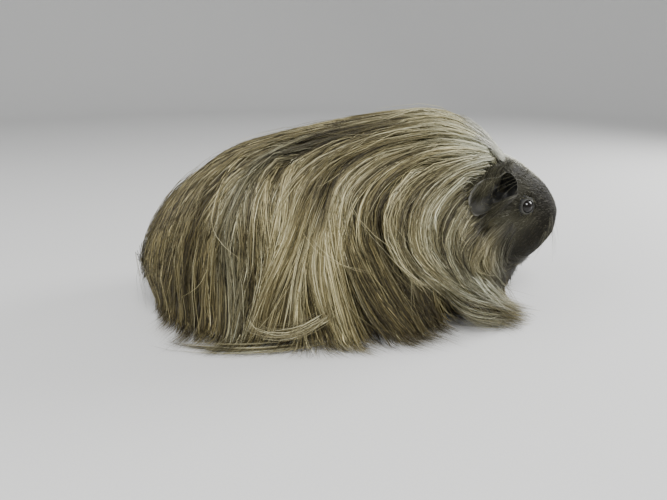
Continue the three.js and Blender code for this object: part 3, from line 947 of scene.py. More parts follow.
# Streaks along the lie: the stroke, half width, paler, more silver, and how much deeper.
STREAKS = [
    (SILVER_LOCK, 7.0, 0.04, 0.50, 0.0),
    # painted shade in the hip's parting
    (HIP_PARTING, 2.6, -0.14, 0.00, 0.0),
    # cream hair, with a painted highlight along the band
    (CREAM_AND_SHEEN_BAND, 6.0, 0.20, 0.00, -0.5),
    # painted shade in the flank's parting, over a real groove
    (FLANK_PARTING, 2.8, -0.28, 0.00, 3.0),
    # paler hair, with a painted highlight down the fan's middle
    (FAN_MIDDLE, 5.0, 0.12, 0.00, -0.5),
    (FAN_RIGHT, 4.0, 0.08, 0.00, -0.5),
    # painted shade in the hollow between the body and the mane, over a real groove
    (BACK_TURN, 3.0, -0.12, 0.00, 1.6),
    (MANE_OUTER, 4.0, 0.14, 0.10, -0.5),
    (MANE_INNER, 4.0, 0.12, 0.20, -0.5),
    (EAR_SHADE, 4.0, -0.10, 0.10, 1.5),
    (NECK_RAY, 3.5, 0.16, 0.20, 0.0),
    (CREST, 3.0, 0.10, 0.20, 0.0),
]


def off_stroke(x, angle, stroke):
    """The distance in millimetres from a stroke, on the coat laid flat."""
    here = np.stack([np.ravel(x), np.ravel(angle) * DEGREE], 1)
    apart = np.sqrt(((here[:, None] - evenly(stroke)[None]) ** 2).sum(-1)).min(1)
    return apart.reshape(np.shape(x))


def on_right(x, angle):
    """A place on either side, moved to where the right side wears the same part of the coat."""
    return np.where(angle < 0, x - far_shift(angle), x), np.abs(angle)


def coat_tone(x, angle):
    """How pale (0 to 1) and how silver (0 to 1) the coat is at a place. Its patches and streaks also
    hold painted highlights on some bright bands and painted shade in the partings.
    """
    x, angle = on_right(x, angle)
    pale, silver = BASE_PALE + 0 * x, BASE_SILVER + 0 * x
    for middle, size, paler, more in PATCHES:
        here = bell((x - middle[0]) / size[0], 1) * bell((angle - middle[1]) / size[1], 1)
        pale, silver = pale + paler * here, silver + more * here
    for stroke, width, paler, more, _ in STREAKS:
        here = bell(off_stroke(x, angle, stroke), width)
        pale, silver = pale + paler * here, silver + more * here
    return pale, np.clip(silver, 0, 1)


def coat_groove(x, angle):
    """How much deeper the hair lies in the coat's partings, in millimetres."""
    x, angle = on_right(x, angle)
    deeper = 0 * x
    for stroke, width, _, _, groove in STREAKS:
        if groove:
            deeper = deeper + groove * bell(off_stroke(x, angle, stroke), width)
    return deeper


def hair_colour(pale, silver):
    """Hair colour from dark through olive to cream, tinted warm or silver."""
    pale = np.clip(pale, 0, 1)[..., None]
    low = DARK_HAIR + (MID_HAIR - DARK_HAIR) * np.clip(pale / 0.5, 0, 1) ** 1.3
    colour = low + (PALE_HAIR - MID_HAIR) * np.clip((pale - 0.5) / 0.5, 0, 1) ** 1.2
    silver = np.clip(silver, 0, 1)[..., None]
    return colour * (WARM + (SILVER - WARM) * silver)


# ---------------------------------------------------------------- hairs as mesh

PATCH = 0.003  # of the unwrap, for each hair
TAPER_SHORT = np.array([0.9, 1, 0.75, 0.0])  # a short hair's thickness at its four points


def long_taper(points):
    """The thickness of a long hair from its root to its point."""
    t = np.linspace(0, 1, points)
    return np.minimum(0.75 + 2 * t, 1) * np.minimum((1 - t) / 0.45, 1) ** 0.6


def unwrap(root):
    """A root's place on the skin's own unwrap: along the body, and round it."""
    return np.stack([(root[:, 0] - REAR) / (FRONT - REAR), (root[:, 1] + 180) / 360], 1)


def hairs_mesh(name, points, outward, width, taper, colours, root, sides=3, flat=0.6):
    """One mesh of many closed tapered hairs. Each keeps to a patch of the unwrap at its root."""
    n, k, _ = points.shape
    tangent = unit(np.gradient(points, axis=1))
    across = unit(np.cross(tangent, outward))
    lift = np.cross(across, tangent)
    turn = 2 * np.pi * (np.arange(sides) + rng.uniform(0, 1, (n, 1))) / sides
    ring = across[:, :, None] * np.cos(turn)[:, None, :, None]
    ring = ring + flat * lift[:, :, None] * np.sin(turn)[:, None, :, None]
    size = width[:, None] * taper[None] / 2
    body = points[:, :-1, None] + ring[:, :-1] * size[:, :-1, None, None]
    each = (k - 1) * sides + 1
    cloud = np.concatenate([body.reshape(n, -1, 3), points[:, -1:]], 1).reshape(-1, 3)
    walls = net_faces(k - 1, sides)[:, [0, 3, 2, 1]]
    s = np.arange(sides)
    last = (k - 2) * sides
    point = np.stack([last + s, np.full(sides, each - 1), last + (s + 1) % sides], 1)
    base = np.stack([0 * s[: sides - 2], s[1:-1], s[2:]], 1)
    starts = (np.arange(n) * each)[:, None, None]
    tris = np.concatenate([point, base]) + starts
    obj = make_mesh(name, cloud, (walls + starts).reshape(-1, 4), tris.reshape(-1, 3))
    streak = np.tile(rng.uniform(0.62, 1.38, (n, 1, sides, 1)), (1, k - 1, 1, 1))
    tint = (colours[:, :-1, None] * streak).reshape(n, -1, 3)
    set_colours(obj, np.concatenate([tint, colours[:, -1:]], 1).reshape(-1, 3))
    within = np.stack(np.meshgrid(np.arange(k - 1) / (k - 1), s / sides, indexing="ij"), -1)
    within = np.concatenate([within.reshape(-1, 2), [[1.0, 0.5]]]) * PATCH
    place = (unwrap(root)[:, None] + within[None]).reshape(-1, 2)
    corner = np.empty(len(obj.data.loops), np.int32)
    obj.data.loops.foreach_get("vertex_index", corner)
    layer = obj.data.uv_layers.new(name="OFBake")
    layer.uv.foreach_set("vector", place[corner].astype(np.float32).ravel())
    return obj


def gather_hairs(parts):
    """Joins the arrays of several combings."""
    keys = ("points", "outward", "root", "colour", "width")
    return {key: np.concatenate([part[key] for part in parts]) for key in keys}


LOCK_RANGE = 0.13  # how much the tone changes from lock to lock
HAIR_RANGE = 0.15  # and from hair to hair


def colour_hairs(hairs, width, paler=0.0, more_silver=0.0):
    """Gives each hair its thickness, and its colour from root to tip. Most hairs are near the tone
    of their place; a few are cream and some are dark."""
    total, u = len(hairs["which"]), hairs["u"]
    x, angle = hairs["passes"].reshape(-1, 2).T
    tones = [tone.reshape(total, 3) for tone in coat_tone(x, angle)]
    near, far = 1 - smooth(u, 0.1, 0.5), smooth(u, 0.5, 0.9)  # the root's part and the tip's
    between = 1 - near - far
    pale, silver = [
        tone[:, :1] * near + tone[:, 1:2] * between + tone[:, 2:] * far for tone in tones
    ]
    own = paler + rng.normal(0, LOCK_RANGE, hairs["locks"])[hairs["which"]]
    own = own + rng.normal(0, HAIR_RANGE, total)
    cream, dark = rng.uniform(0, 1, total) < 0.16, rng.uniform(0, 1, total) < 0.30
    own = own + 0.28 * cream - 0.20 * dark
    silver = silver + more_silver + rng.normal(0, 0.15, (total, 1))
    root_shade = 0.55 + 0.45 * smooth(u, 0.0, 0.3)
    phase = u * rng.uniform(0.6, 2, (total, 1)) + rng.uniform(0, 1, (total, 1))
    streak = 1 + 0.10 * np.sin(2 * np.pi * phase)
    hairs["colour"] = hair_colour((pale + own[:, None]) * root_shade * streak, silver)
    hairs["width"] = rng.uniform(*width, total)
    return hairs


def outside_face(x, angle, side):
    """True where a place on the coat lies outside the mane's opening round the face."""
    p = coat_form.point(x, angle * side)
    opening = 41 - 7 * smooth(p[:, 2], 84, 100)
    face_middle, depth_across = (116, 0, 73.5), (1, 2.2, 1)
    away = np.linalg.norm((p - face_middle) / depth_across, axis=1)
    return (away > opening) | (p[:, 2] < 34)


EVEN_STEP = (0.7549, 0.5698)  # steps that fill a square evenly, each way


def scatter(count, x_range, angle_range, side):
    """Roots spread evenly over a stretch of the coat, without rows."""
    step = np.arange(count)[:, None] * EVEN_STEP
    part = (step + rng.uniform(0, 1, 2) + rng.normal(0, 0.25, (count, 2)) / math.sqrt(count)) % 1
    x = x_range[0] + (x_range[1] - x_range[0]) * part[:, 0]
    angle = angle_range[0] + (angle_range[1] - angle_range[0]) * part[:, 1]
    keep = outside_face(x, angle, side)
    return x[keep], angle[keep]


def coat_group(side, lie, roots, spec, width, **tones):
    """The locks of one combing, coloured."""
    hairs = lock_hairs(lie[side], side, roots, spec)
    return colour_hairs(hairs, width, **tones)


def locks(length, width, layer, hairs, **changes):
    """What a combing of locks is like: the range of their length, width and depth in the coat, in
    millimetres, how many hairs each has, and what differs from the values here."""
    spec = {
        "length": length,
        "width": width,
        "layer": layer,
        "hairs": hairs,
        "veer": 3.0,  # degrees that a lock strays from the lie
        "gather": 0.5,  # how far a lock draws together towards its tip
        "rise": 0.2,  # the part of a hair that rises out of the coat
        "stagger": 0.22,  # the part of a lock over which its roots are spread
        "shortest": 0.84,
        "wave": 0.5,
        "splay": 1.2,  # millimetres that the tips part
        "round": 1.6,  # how much deeper a lock's sides lie
        "lift": 0.5,  # how much the tips stand off
        "run": 34,  # the farthest that hair runs out along the floor
        "points": HAIR_POINTS,
    }
    spec.update(changes)
    return spec


# The coat on the body.
BACK_HAIR = locks((110, 165), (6, 14), (0, 4.6), 21, rise=0.1, points=7)
SIDE_HAIR = locks((70, 120), (6, 13), (3, 7), 19, points=7)
FAN = locks((80, 120), (5, 10), (0.2, 2.4), 24, gather=0, points=7)
PARTING = locks(
    (45, 80), (7, 12), (2.5, 5.5), 15, veer=6, gather=0.1, rise=0.07, stagger=0.12, points=7
)
HIP_FILL = locks(
    (45, 80), (8, 13), (1, 3), 20, veer=6, gather=0.1, rise=0.05, stagger=0.06, points=7
)
UNDER = locks(
    (50, 90), (9, 16), (6, 9), 9, veer=8, gather=0.1, rise=0.1, stagger=0.3, run=20, points=6
)
HEM = locks(
    (22, 40), (9, 15), (2, 8), 8, veer=12, gather=0, rise=0.1, stagger=0.2, run=8, points=6
)
STRAY = locks(
    (40, 90), (3, 14), (-3.5, 0.5), 2, veer=15, gather=0, rise=0.4, wave=2.6, splay=3, points=8
)
# The mane, and the longer hair of the head.
MANE = locks((85, 135), (5, 12), (-0.2, 3.4), 19, rise=0.12, stagger=0.15, points=8)
MANE_LOW = locks((55, 95), (5, 11), (1, 4), 18, rise=0.1, points=8)
UNDER_MANE = locks((45, 80), (7, 12), (2.6, 5), 11, veer=5, gather=0.1, rise=0.1, points=6)
WHORL = locks((60, 125), (3, 7), (-0.4, 1.6), 15, veer=4, rise=0.1, stagger=0.06, points=8)
NAPE = locks((45, 85), (4, 8), (-0.4, 2.2), 15, gather=0.2, rise=0.12, stagger=0.15, points=8)
CHEST_LOW = locks((55, 95), (5, 11), (0.6, 4), 20, rise=0.1, points=7)
BIB_HAIR = locks((30, 52), (5, 10), (-0.5, 4), 16, veer=8, splay=2, points=7)
CROWN = locks(
    (18, 36), (2, 5), (-2.2, -0.2), 15, veer=5, gather=0.1, rise=0.12, stagger=0.1, points=7
)
CHEEK = locks(
    (28, 50), (3, 7), (-0.6, 1.2), 13, veer=4, gather=0.2, rise=0.3, stagger=0.1, points=7,
    wave=0.2, splay=0.7,
)

# The range of the hair's thickness in millimetres.
FINE = (0.28, 0.48)
MEDIUM = (0.5, 0.8)
THICK = (1.0, 1.7)
WISP = (0.14, 0.22)


def combed(side, lie, spec, width, areas, **tones):
    """Locks rooted over several stretches: each an x range, an angle range and how many locks."""
    parts = []
    for x_range, angles, count in areas:
        roots = scatter(count, x_range, angles, side)
        parts.append(coat_group(side, lie, roots, spec, width, **tones))
    return parts


REARWARD = (-0.9, 0, 0.43)  # the way out of the coat on the rear
TAIL_LINES = (1, 7, 14, 22)  # how far out the locks lie that fall over the middle of the rear


def rump_hair(side):
    """The back's hair falling over the hip and the rear."""
    top = combed(side, body_lie, BACK_HAIR, FINE, [((-134, -52), (1, 24), 70)])
    top += combed(side, body_lie, HIP_FILL, FINE, [((-96, -50), (3, 24), 17)])
    top += combed(side, body_lie, SIDE_HAIR, FINE, [((-136, -55), (24, 85), 72)])
    tail = {"count": 7, "up": REARWARD, "paler": 0.02}
    return top + [laid_lock(tail_line(out), 56, 12, side, **tail) for out in TAIL_LINES]


def tail_line(out):
    """A line from the end of the back over the rear to the floor."""
    x = np.array([-92.0, -106, -118, -127, -133, -137])
    depth = np.array([7.0, 5.0, 4.4, 4.2, 4.2, 4.4])
    angle = np.degrees(np.arcsin(np.minimum(out / coat_form.radius(x, 0 * x), 0.95)))
    line = [(p[0], abs(p[1]), p[2]) for p in coat_form.point(x, angle, depth)]
    line.append((-136.5, out, 46))
    return line + [(-137, out + 1, 30), (-137, out + 2, 14), (-137, out + 3, 3)]


def flank_hair(side):
    """The back's hair falling over the flank, and the fan that spreads on the floor."""
    parts = combed(side, body_lie, BACK_HAIR, FINE, [((-52, 62), (1, 26), 60)])
    parts += combed(side, body_lie, SIDE_HAIR, FINE, [((-55, 48), (26, 85), 54)])
    parts += parting_hair(side)
    hip = [((-43, -27), (17, 32), 13), ((-57, -40), (27, 42), 10)]
    parts += combed(side, body_lie, HIP_FILL, FINE, hip)
    fan = [((-17, -4), (38, 54), 26), ((-9, 8), (52, 66), 6)]
    return parts + combed(side, body_lie, FAN, FINE, fan)


def under_hair(side):
    """Thicker and darker hair beneath, so that no gap opens on the skin."""
    areas = [((-134, 60), (0, 70), 74), ((-134, 50), (60, 112), 78)]
    below = combed(side, body_lie, UNDER, THICK, areas, paler=-0.14)
    below += combed(side, body_lie, HEM, THICK, [((-118, 46), (98, 124), 34)], paler=-0.16)
    mane = [((48, 98), (6, 108), 66)]
    return below + combed(side, mane_lie, UNDER_MANE, MEDIUM, mane, paler=-0.12)


def parting_hair(side):
    """Hair rooted along the two partings, where the locks on either side draw away from them."""
    parts = []
    for stroke in (HIP_PARTING, FLANK_PARTING):
        line = evenly(stroke, 5.0)[:-3]
        before = line[0] + (line[0] - line[3]) * rng.uniform(0, 1.2, (5, 1))
        line = np.concatenate([before, line]) / (1, DEGREE)
        line = line + rng.normal(0, 1.8, line.shape)
        parts.append(coat_group(side, body_lie, line.T, PARTING, FINE, paler=-0.06))
    return parts


def mane_hair(side):
    """The mane: from behind the ears back over the shoulder, and down and forward to the chest."""
    ridge = [((60, 95), (0, 26), 44), ((30, 90), (22, 48), 46)]
    parts = combed(side, mane_lie, MANE, FINE, ridge, paler=0.04)
    parts += combed(side, mane_lie, WHORL, FINE, [((82, 99), (0, 38), 34)], paler=0.04)
    parts += combed(side, mane_lie, MANE_LOW, FINE, [((26, 88), (44, 84), 48)], paler=0.08)
    return parts + nape_hair(side)


def crown_hair(side):
    """White hair at the front of the mane's ridge, from the crown back."""
    x, angle = rng.uniform(87, 103, 30), rng.uniform(0, 19, 30)
    hairs = lock_hairs(mane_lie[side], side, (x, angle), CROWN)
    total = len(hairs["which"])
    pale = rng.uniform(0.8, 1.0, (total, 1)) - 0.3 * smooth(hairs["u"], 0.5, 1.0)
    hairs["colour"] = face_colours(pale)
    hairs["width"] = rng.uniform(0.24, 0.38, total)
    return [hairs]


def laid_lock(line, hairs, width, side, paler=0.0, silver=0.0, count=HAIR_POINTS, up=(0, 0, 1)):
    """Hairs that follow one line through space, side by side, and part a little at their tips. The
    line's places are (x, distance out from the middle, height)."""
    length, curves = line_curves(np.array(line, float))
    start = rng.uniform(0, 0.3, (hairs, 1))
    end = 1 - 0.45 * rng.uniform(0, 1, (hairs, 1)) ** 1.5
    u = np.linspace(0, 1, count)[None]
    at = (start + (end - start) * u) * length
    points = np.stack([curve(at) for curve in curves], -1)
    across = unit(np.cross(np.gradient(points, axis=1), up))
    seat = np.clip(rng.normal(0, 0.5, (hairs, 1)), -1.2, 1.2)
    splay = rng.normal(0, 0.8, (hairs, 1)) * smooth(u, 0.45, 1.2)
    waves = rng.uniform(0.4, 1.1, (hairs, 1)) * u + rng.uniform(0, 1, (hairs, 1))
    sway = 0.9 * np.sin(2 * np.pi * waves) * u
    points = points + across * ((seat + splay) * width / 2 + sway)[..., None]
    height = rng.gamma(1.5, 0.12, (hairs, 1)) * width * (1 - 0.5 * seat**2).clip(0.2)
    points = points + (height * smooth(1 - u, 0, 0.3))[..., None] * np.array(up)
    points[..., 2] = np.maximum(points[..., 2], FLOOR_REST)
    points[..., 1] *= -side
    points = keep_in(points)
    outward = np.zeros_like(points) + (up[0], -0.5 * side, 0.87)
    lock = {
        "points": points,
        "outward": outward,
        "which": np.zeros(hairs, int),
        "locks": 1,
        "root": root_on_body(points[:, 0]),
        "passes": root_on_body(points[:, [1, 4, -2]].reshape(-1, 3)).reshape(hairs, 3, 2),
        "u": u,
    }
    return colour_hairs(lock, FINE, paler, silver)


# Locks laid along given lines, as places (x, distance out from the middle, height).
SWEEP_SHORT = [(8, 44, 32), (-6, 58, 24), (-19, 69, 17), (-31, 75, 13), (-44, 77, 12)]
SWEEP_SHORT += [(-55, 77, 16), (-63, 74, 25)]
SWEEP_LONG = [(4, 62, 6), (-38, 72, 2), (-78, 74, 1), (-106, 67, 0.8), (-120, 59, 1)]
BEARD_LOCKS = [
    [(80, 33, 54), (80, 40, 34), (90, 39, 18), (110, 31, 10)],
    [(88, 30, 44), (89, 34, 28), (99, 32, 15), (116, 25, 9)],
    [(52, 50, 40), (62, 49, 29), (82, 43, 17), (108, 31, 9)],
    [(56, 52, 28), (66, 51, 17), (86, 45, 7), (112, 32, 3)],
    [(92, 18, 40), (95, 24, 24), (103, 23, 11), (115, 15, 5)],
    [(66, 45, 46), (72, 45, 32), (88, 40, 19), (112, 29, 11)],
    [(64, 50, 18), (76, 50, 8), (92, 44, 2), (108, 36, 1)],
]


def sweep_hair(side):
    """The two locks that lie on the floor along the hem, and the beard's that turn forward."""
    parts = [laid_lock(SWEEP_SHORT, 60, 11, side, 0.08, 0.2)]
    parts.append(laid_lock(SWEEP_LONG, 34, 7, side, 0.14, 0.2))
    return parts + [laid_lock(line, 46, 17, side, 0.0, 0.3) for line in BEARD_LOCKS]


def nape_hair(side):
    """Darker hair rooted behind and under the ear, that fills the edge of the mane."""
    x = np.concatenate([rng.uniform(70, 90, 34), rng.uniform(68, 82, 14)])
    angle = np.concatenate([rng.uniform(42, 84, 34), rng.uniform(33, 48, 14)])
    dark = coat_group(side, mane_lie, (x, angle), NAPE, FINE, paler=-0.1)
    edge = rng.uniform(83, 96, 16), rng.uniform(14, 42, 16)
    return [dark, coat_group(side, mane_lie, edge, NAPE, FINE, paler=0.05)]


def chest_hair(side):
    """The cheek's long hair, the beard and the bib in front of the forelegs."""
    parts = combed(side, mane_lie, CHEST_LOW, FINE, [((60, 90), (78, 118), 37)], paler=0.13)
    parts += cheek_hair(side)
    return parts + combed(side, mane_lie, BIB_HAIR, FINE, [((84, 108), (118, 172), 44)])


def stray_hair(side):
    """Single fine hairs that lie loose over the rest."""
    parts = combed(side, body_lie, STRAY, WISP, [((-125, 40), (0, 90), 74)], paler=0.18)
    return parts + combed(side, mane_lie, STRAY, WISP, [((40, 92), (0, 50), 24)], paler=0.22)


def coat_piece(name, parts):
    """Combed hairs as one piece."""
    every = gather_hairs(parts)
    points, taper = every["points"], long_taper(every["points"].shape[1])
    colours, root = every["colour"], every["root"]
    return hairs_mesh(name, points, every["outward"], every["width"], taper, colours, root)


# ---------------------------------------------------------------- short hair of the face and ears


def snap(tree, places):
    """The nearest place on a surface, and the way out of it, for each place."""
    found, normals = np.empty_like(places), np.empty_like(places)
    for i, place in enumerate(places):
        hit, normal, _, _ = tree.find_nearest(place.tolist())
        found[i], normals[i] = hit, normal
    return found, normals


def spread_on(points, faces, count, wanted):
    """Roots spread evenly over a surface by area, where wanted says how likely each place is."""
    corners = points[faces[:, :3]]
    cross = np.cross(corners[:, 1] - corners[:, 0], corners[:, 2] - corners[:, 0])
    weight = np.linalg.norm(cross, axis=1) * wanted(corners.mean(1))
    pick = rng.choice(len(faces), count, p=weight / weight.sum())
    a, b = rng.uniform(0, 1, (2, count, 1))
    flip = a + b > 1
    a, b = np.where(flip, 1 - a, a), np.where(flip, 1 - b, b)
    chosen = corners[pick]
    return chosen[:, 0] + a * (chosen[:, 1] - chosen[:, 0]) + b * (chosen[:, 2] - chosen[:, 0])


def short_hairs(tree, roots, way_of, length, lift, veer, points=4):
    """Short hairs pressed to a surface, each following the way the hair lies there."""
    place, up = snap(tree, roots)
    path, outward = [place - 0.3 * up], [up]
    turn = rng.normal(0, veer, (len(roots), 1))
    for step in range(1, points):
        way = way_of(place)
        way = unit(way - np.sum(way * up, 1, keepdims=True) * up)
        way = unit(way + turn * np.cross(up, way))
        place, up = snap(tree, place + way * (length / (points - 1))[:, None])
        rise = lift * (0.35 + 0.65 * (step / (points - 1)))
        path.append(place + up * rise[:, None])
        outward.append(up)
    return np.stack(path, 1), np.stack(outward, 1)


def root_on_body(places):
    """Places as (x, angle) round the body."""
    x, y, z = places.T
    return np.stack([x, np.degrees(np.arctan2(-y, z - axis_height(x)))], 1)


def face_way(places):
    """The lie of the face's hair: back from the nose, round the eye, and down over the cheek.
    From the crown it falls to the sides, over the ears."""
    x, y, z = places.T
    side = np.sign(y)
    down = ebb(z, 50, 86)
    crown = ebb(x, 96, 112) * smooth(z, 84, 96)
    way = np.stack([-1 + 0.3 * down, 0.2 * side, 0.3 - 1.3 * down], 1)
    fall = np.stack([0 * x - 0.35, side * 0.9, 0 * x - 1.0], 1)
    way = way * (1 - crown)[:, None] + fall * crown[:, None]
    for name, side in SIDES.items():
        centre, _ = eye_of(name)
        away = places - centre
        apart = np.linalg.norm(away, axis=1, keepdims=True)
        way = way + 1.3 * away / apart * ebb(apart, 5, 12)
    return way


def face_wanted(places):
    """How thickly the face's short hair grows: all over the head but the eyes and ears, thinly on
    the nose's tip, and thicker on the muzzle, the white line, the cheek and the lids' edge."""
    x, y, z = places.T
    want = smooth(x, 70, 80) * (1 - 0.75 * smooth(x, 139.6, 141.6))
    want = want * (1 + 0.8 * smooth(x, 118, 132)) * (1 + 1.5 * bell(y, 5) * smooth(z, 76, 86))
    want = want * (1 + 1.6 * bell(np.hypot(x - 100, z - 74), 12))
    for name, side in SIDES.items():
        centre, _ = eye_of(name)
        off = np.linalg.norm(np.cross(places - centre, gaze(side)), axis=1)
        near = (y * side > 0) * (off < 12)
        want = want * (1 - near * (off < 4.5)) * (1 + 1.5 * near * bell(off - 6.5, 2.2))
        ear = np.array([EAR["x"], side * EAR["y"], EAR["z"]])
        want = want * smooth(np.linalg.norm(places - ear, axis=1), 4, 6)
    return want


def eye_room(places):
    """0 beside the eyes and 1 well away from them."""
    apart = [np.linalg.norm(places - eye_of(name)[0], axis=1) for name in SIDES]
    return smooth(np.minimum(*apart), 6, 15)


def face_tone(places):
    """How pale the face's hair is: near black, greyer on the cheek and under the eye, with a white
    line over the crown, a frosted nose and a painted sheen on the forehead."""
    x, y, z = places.T
    narrowing = 2.4 * smooth(x, 96, 118) + 2.4 * smooth(x, 118, 130)
    crest = bell(y, 7.6 - narrowing) * smooth(z, 78, 86)
    crest = crest * smooth(x, 84, 92) * ebb(x, 124, 133)
    crown = bell(np.hypot(x - 92, y), 7) * smooth(z, 90, 98)
    cheek = ebb(x, 94, 118) * ebb(z, 64, 84)
    frost = smooth(x, 138.5, 141.0) * smooth(z, 66, 71)
    under_eye = bell(np.hypot(x - 115, z - 66), 7)
    # painted sheen: the forehead is paler where light catches its fur
    forehead = bell(np.hypot(x - 110, z - 88), 8)
    throat = ebb(z, 44, 54) * smooth(x, 92, 100)
    pale = 1.0 * crest + 0.6 * crown + 0.26 * cheek + 0.45 * frost + 0.12 * under_eye
    return np.maximum(pale + 0.12 * forehead - 0.12 * throat, 0)


FACE_DARK = np.array([0.0068, 0.0056, 0.0028])
FACE_GREY = np.array([0.165, 0.158, 0.105])
FACE_WHITE = np.array([0.90, 0.90, 0.80])


def face_colours(pale):
    """From black through grey to white, as pale goes from 0 to 1."""
    pale = np.clip(pale, 0, 1)[..., None]
    low = FACE_DARK + (FACE_GREY - FACE_DARK) * np.clip(pale / 0.45, 0, 1) ** 1.4
    return low + (FACE_WHITE - FACE_GREY) * np.clip((pale - 0.45) / 0.55, 0, 1)


NO_FADE = np.ones((1, 4, 1))
FACE_FADE = np.array([0.6, 0.85, 1.1, 1.25])[None, :, None]  # from root to tip
BELLY_FADE = np.array([0.8, 1, 1, 1.1])[None, :, None]
TUFT = 3  # hairs that share one line and one colour


def short_piece(name, hairs, colours, width, roots, fade=NO_FADE):
    """Short hairs as one piece, each of one colour but for its fade from root to tip."""
    path, outward = hairs
    colours = colours[:, None] * fade
    return hairs_mesh(name, path, outward, width, TAPER_SHORT, colours, root_on_body(roots))


def tuft_roots(seeds, apart):
    """The roots of a tuft's hairs round each seed."""
    return np.repeat(seeds, TUFT, 0) + rng.normal(0, apart, (TUFT * len(seeds), 3))


def face_hair(name, side, tree, points, faces):
    """The short hair of one side of the face in small tufts, longer and streaked on the cheek."""
    seeds = spread_on(points, faces, 1960, lambda p: face_wanted(p) * (p[:, 1] * side >= 0))
    roots = np.repeat(seeds, TUFT, 0)
    total = len(roots)
    x, y, z = roots.T
    cheek = ebb(x, 92, 118) * ebb(z, 74, 92)
    crest = bell(y, 5) * smooth(z, 78, 92)
    over = bell(y, 22) * smooth(z, 84, 96)
    room = eye_room(roots)
    length = 4.6 + 4.2 * ebb(x, 118, 138) + 3.5 * ebb(x, 88, 112) + 6.0 * cheek
    length = length * (0.5 + 0.5 * room)
    back = unit(face_way(roots)) * (length * rng.uniform(0, 0.75, total) * room)[:, None]
    roots = roots + back + rng.normal(0, 0.3, (total, 3))
    length = length * rng.uniform(0.75, 1.2, total)
    lift = rng.uniform(0.25, 0.7, total) * (1 - 0.4 * over) + 0.7 * cheek
    lift = lift + 2.4 * crest * rng.uniform(0, 1, total)
    hairs = short_hairs(tree, roots, face_way, length, lift, 0.09)
    white = rng.uniform(0, 1, len(seeds)) < 0.006
    tuft_pale = np.abs(rng.normal(0, 0.085, len(seeds))) + 0.2 * white
    pale = face_tone(roots) + np.repeat(tuft_pale, TUFT) * (1 + cheek)
    pale = pale + np.abs(rng.normal(0, 0.07, total))
    width = rng.uniform(0.2, 0.32, total)
    return short_piece(name, hairs, face_colours(pale), width, roots, FACE_FADE)


def belly_way(places):
    """The lie of the belly's hair: back and outwards."""
    return np.stack([0 * places[:, 0] - 1, 0.4 * np.sign(places[:, 1]), 0 * places[:, 0]], 1)


def belly_wanted(places):
    """Where the belly's hair grows: under the trunk, between the rear and the chest."""
    x, _, z = places.T
    return (z < 30) * smooth(x, -122, -112) * ebb(x, 92, 102)


def belly_hair(tree, points, faces):
    """Softer hair on the underside, between the legs."""
    seeds = spread_on(points, faces, 330, belly_wanted)
    roots = tuft_roots(seeds, 0.8)
    total = len(roots)
    length, lift = rng.uniform(12, 20, total), rng.uniform(0.8, 3.0, total)
    hairs = short_hairs(tree, roots, belly_way, length, lift, 0.2)
    pale = np.repeat(rng.normal(0.36, 0.07, len(seeds)), TUFT) + rng.normal(0, 0.05, total)
    colours = hair_colour(pale, 0 * pale + BASE_SILVER)
    width = rng.uniform(0.5, 0.8, total)
    return short_piece("belly_hair", hairs, colours, width, roots, BELLY_FADE)


def leg_way(places):
    """The lie of the legs' hair: down, and forward over the toes."""
    low = ebb(places[:, 2], 4, 9)
    return np.stack([0.2 + low, 0 * low, -1 + low], 1)


def leg_wanted(places):
    """Where the legs' hair grows: from the toes to where the coat hides the leg."""
    return smooth(places[:, 2], 2, 3.5) * ebb(places[:, 2], 13, 17)


def leg_hair(tree, points, faces):
    """Small dark tufts on the legs and feet, down to the claws."""
    seeds = spread_on(points, faces, 190, leg_wanted)
    roots = tuft_roots(seeds, 0.3)
    total = len(roots)
    length, lift = rng.uniform(2.5, 4.5, total), rng.uniform(0.3, 0.8, total)
    path, outward = short_hairs(tree, roots, leg_way, length, lift, 0.15)
    path[..., 2] = np.maximum(path[..., 2], FLOOR_REST)
    pale = np.repeat(np.abs(rng.normal(0.12, 0.08, len(seeds))), TUFT)
    width = rng.uniform(0.26, 0.4, total)
    return short_piece("leg_hair", (path, outward), face_colours(pale), width, roots)


def bristles(tree):
    """Short frosted hairs that stand out a little from the nose and the lips."""
    count = 500
    frosted = np.arange(count) < 170
    x = np.where(frosted, rng.uniform(133, 141, count), rng.uniform(120, 141, count))
    y = rng.uniform(-15, 15, count) * np.where(frosted, 0.6, 1)
    z = np.where(frosted, rng.uniform(64, 82, count), rng.uniform(48, 88, count))
    nose = smooth(x, 134, 140) * smooth(z, 62, 72)
    length = rng.uniform(3.4, 5.4, count) * (1 - 0.3 * nose)
    lift = rng.uniform(0.6, 1.7, count) + 1.9 * nose
    hairs = short_hairs(tree, np.stack([x, y, z], 1), face_way, length, lift, 0.3)
    pale = np.abs(rng.normal(0.10, 0.12, count)) + 0.55 * nose
    width = rng.uniform(0.13, 0.18, count)
    return short_piece("bristles", hairs, face_colours(pale), width, hairs[0][:, 0])


def blaze_way(places):
    """The lie of the white line's hair: straight back, parting a little to the sides."""
    level = 0 * places[:, 0]
    return np.stack([level - 1, 0.12 * np.sign(places[:, 1]), level + 0.4], 1)


def blaze_hair(tree):
    """The fine white line of longer hair over the crown and down the forehead."""
    count = 1150
    x = 92 + 38 * rng.uniform(0, 1, count)
    spread = 8.5 - 2.2 * smooth(x, 96, 116) - 4.4 * smooth(x, 118, 130)
    roots = np.stack([x, spread * rng.normal(0, 0.55, count), 116 - 0.7 * (x - 90)], 1)
    length = rng.uniform(6, 10, count)
    lift = rng.uniform(1.8, 4.8, count) * (1 - 0.3 * smooth(x, 110, 130))
    hairs = short_hairs(tree, roots, blaze_way, length, lift, 0.2)
    colours = face_colours(rng.uniform(0.82, 1.0, count))
    width = rng.uniform(0.22, 0.34, count)
    return short_piece("blaze_hair", hairs, colours, width, roots)


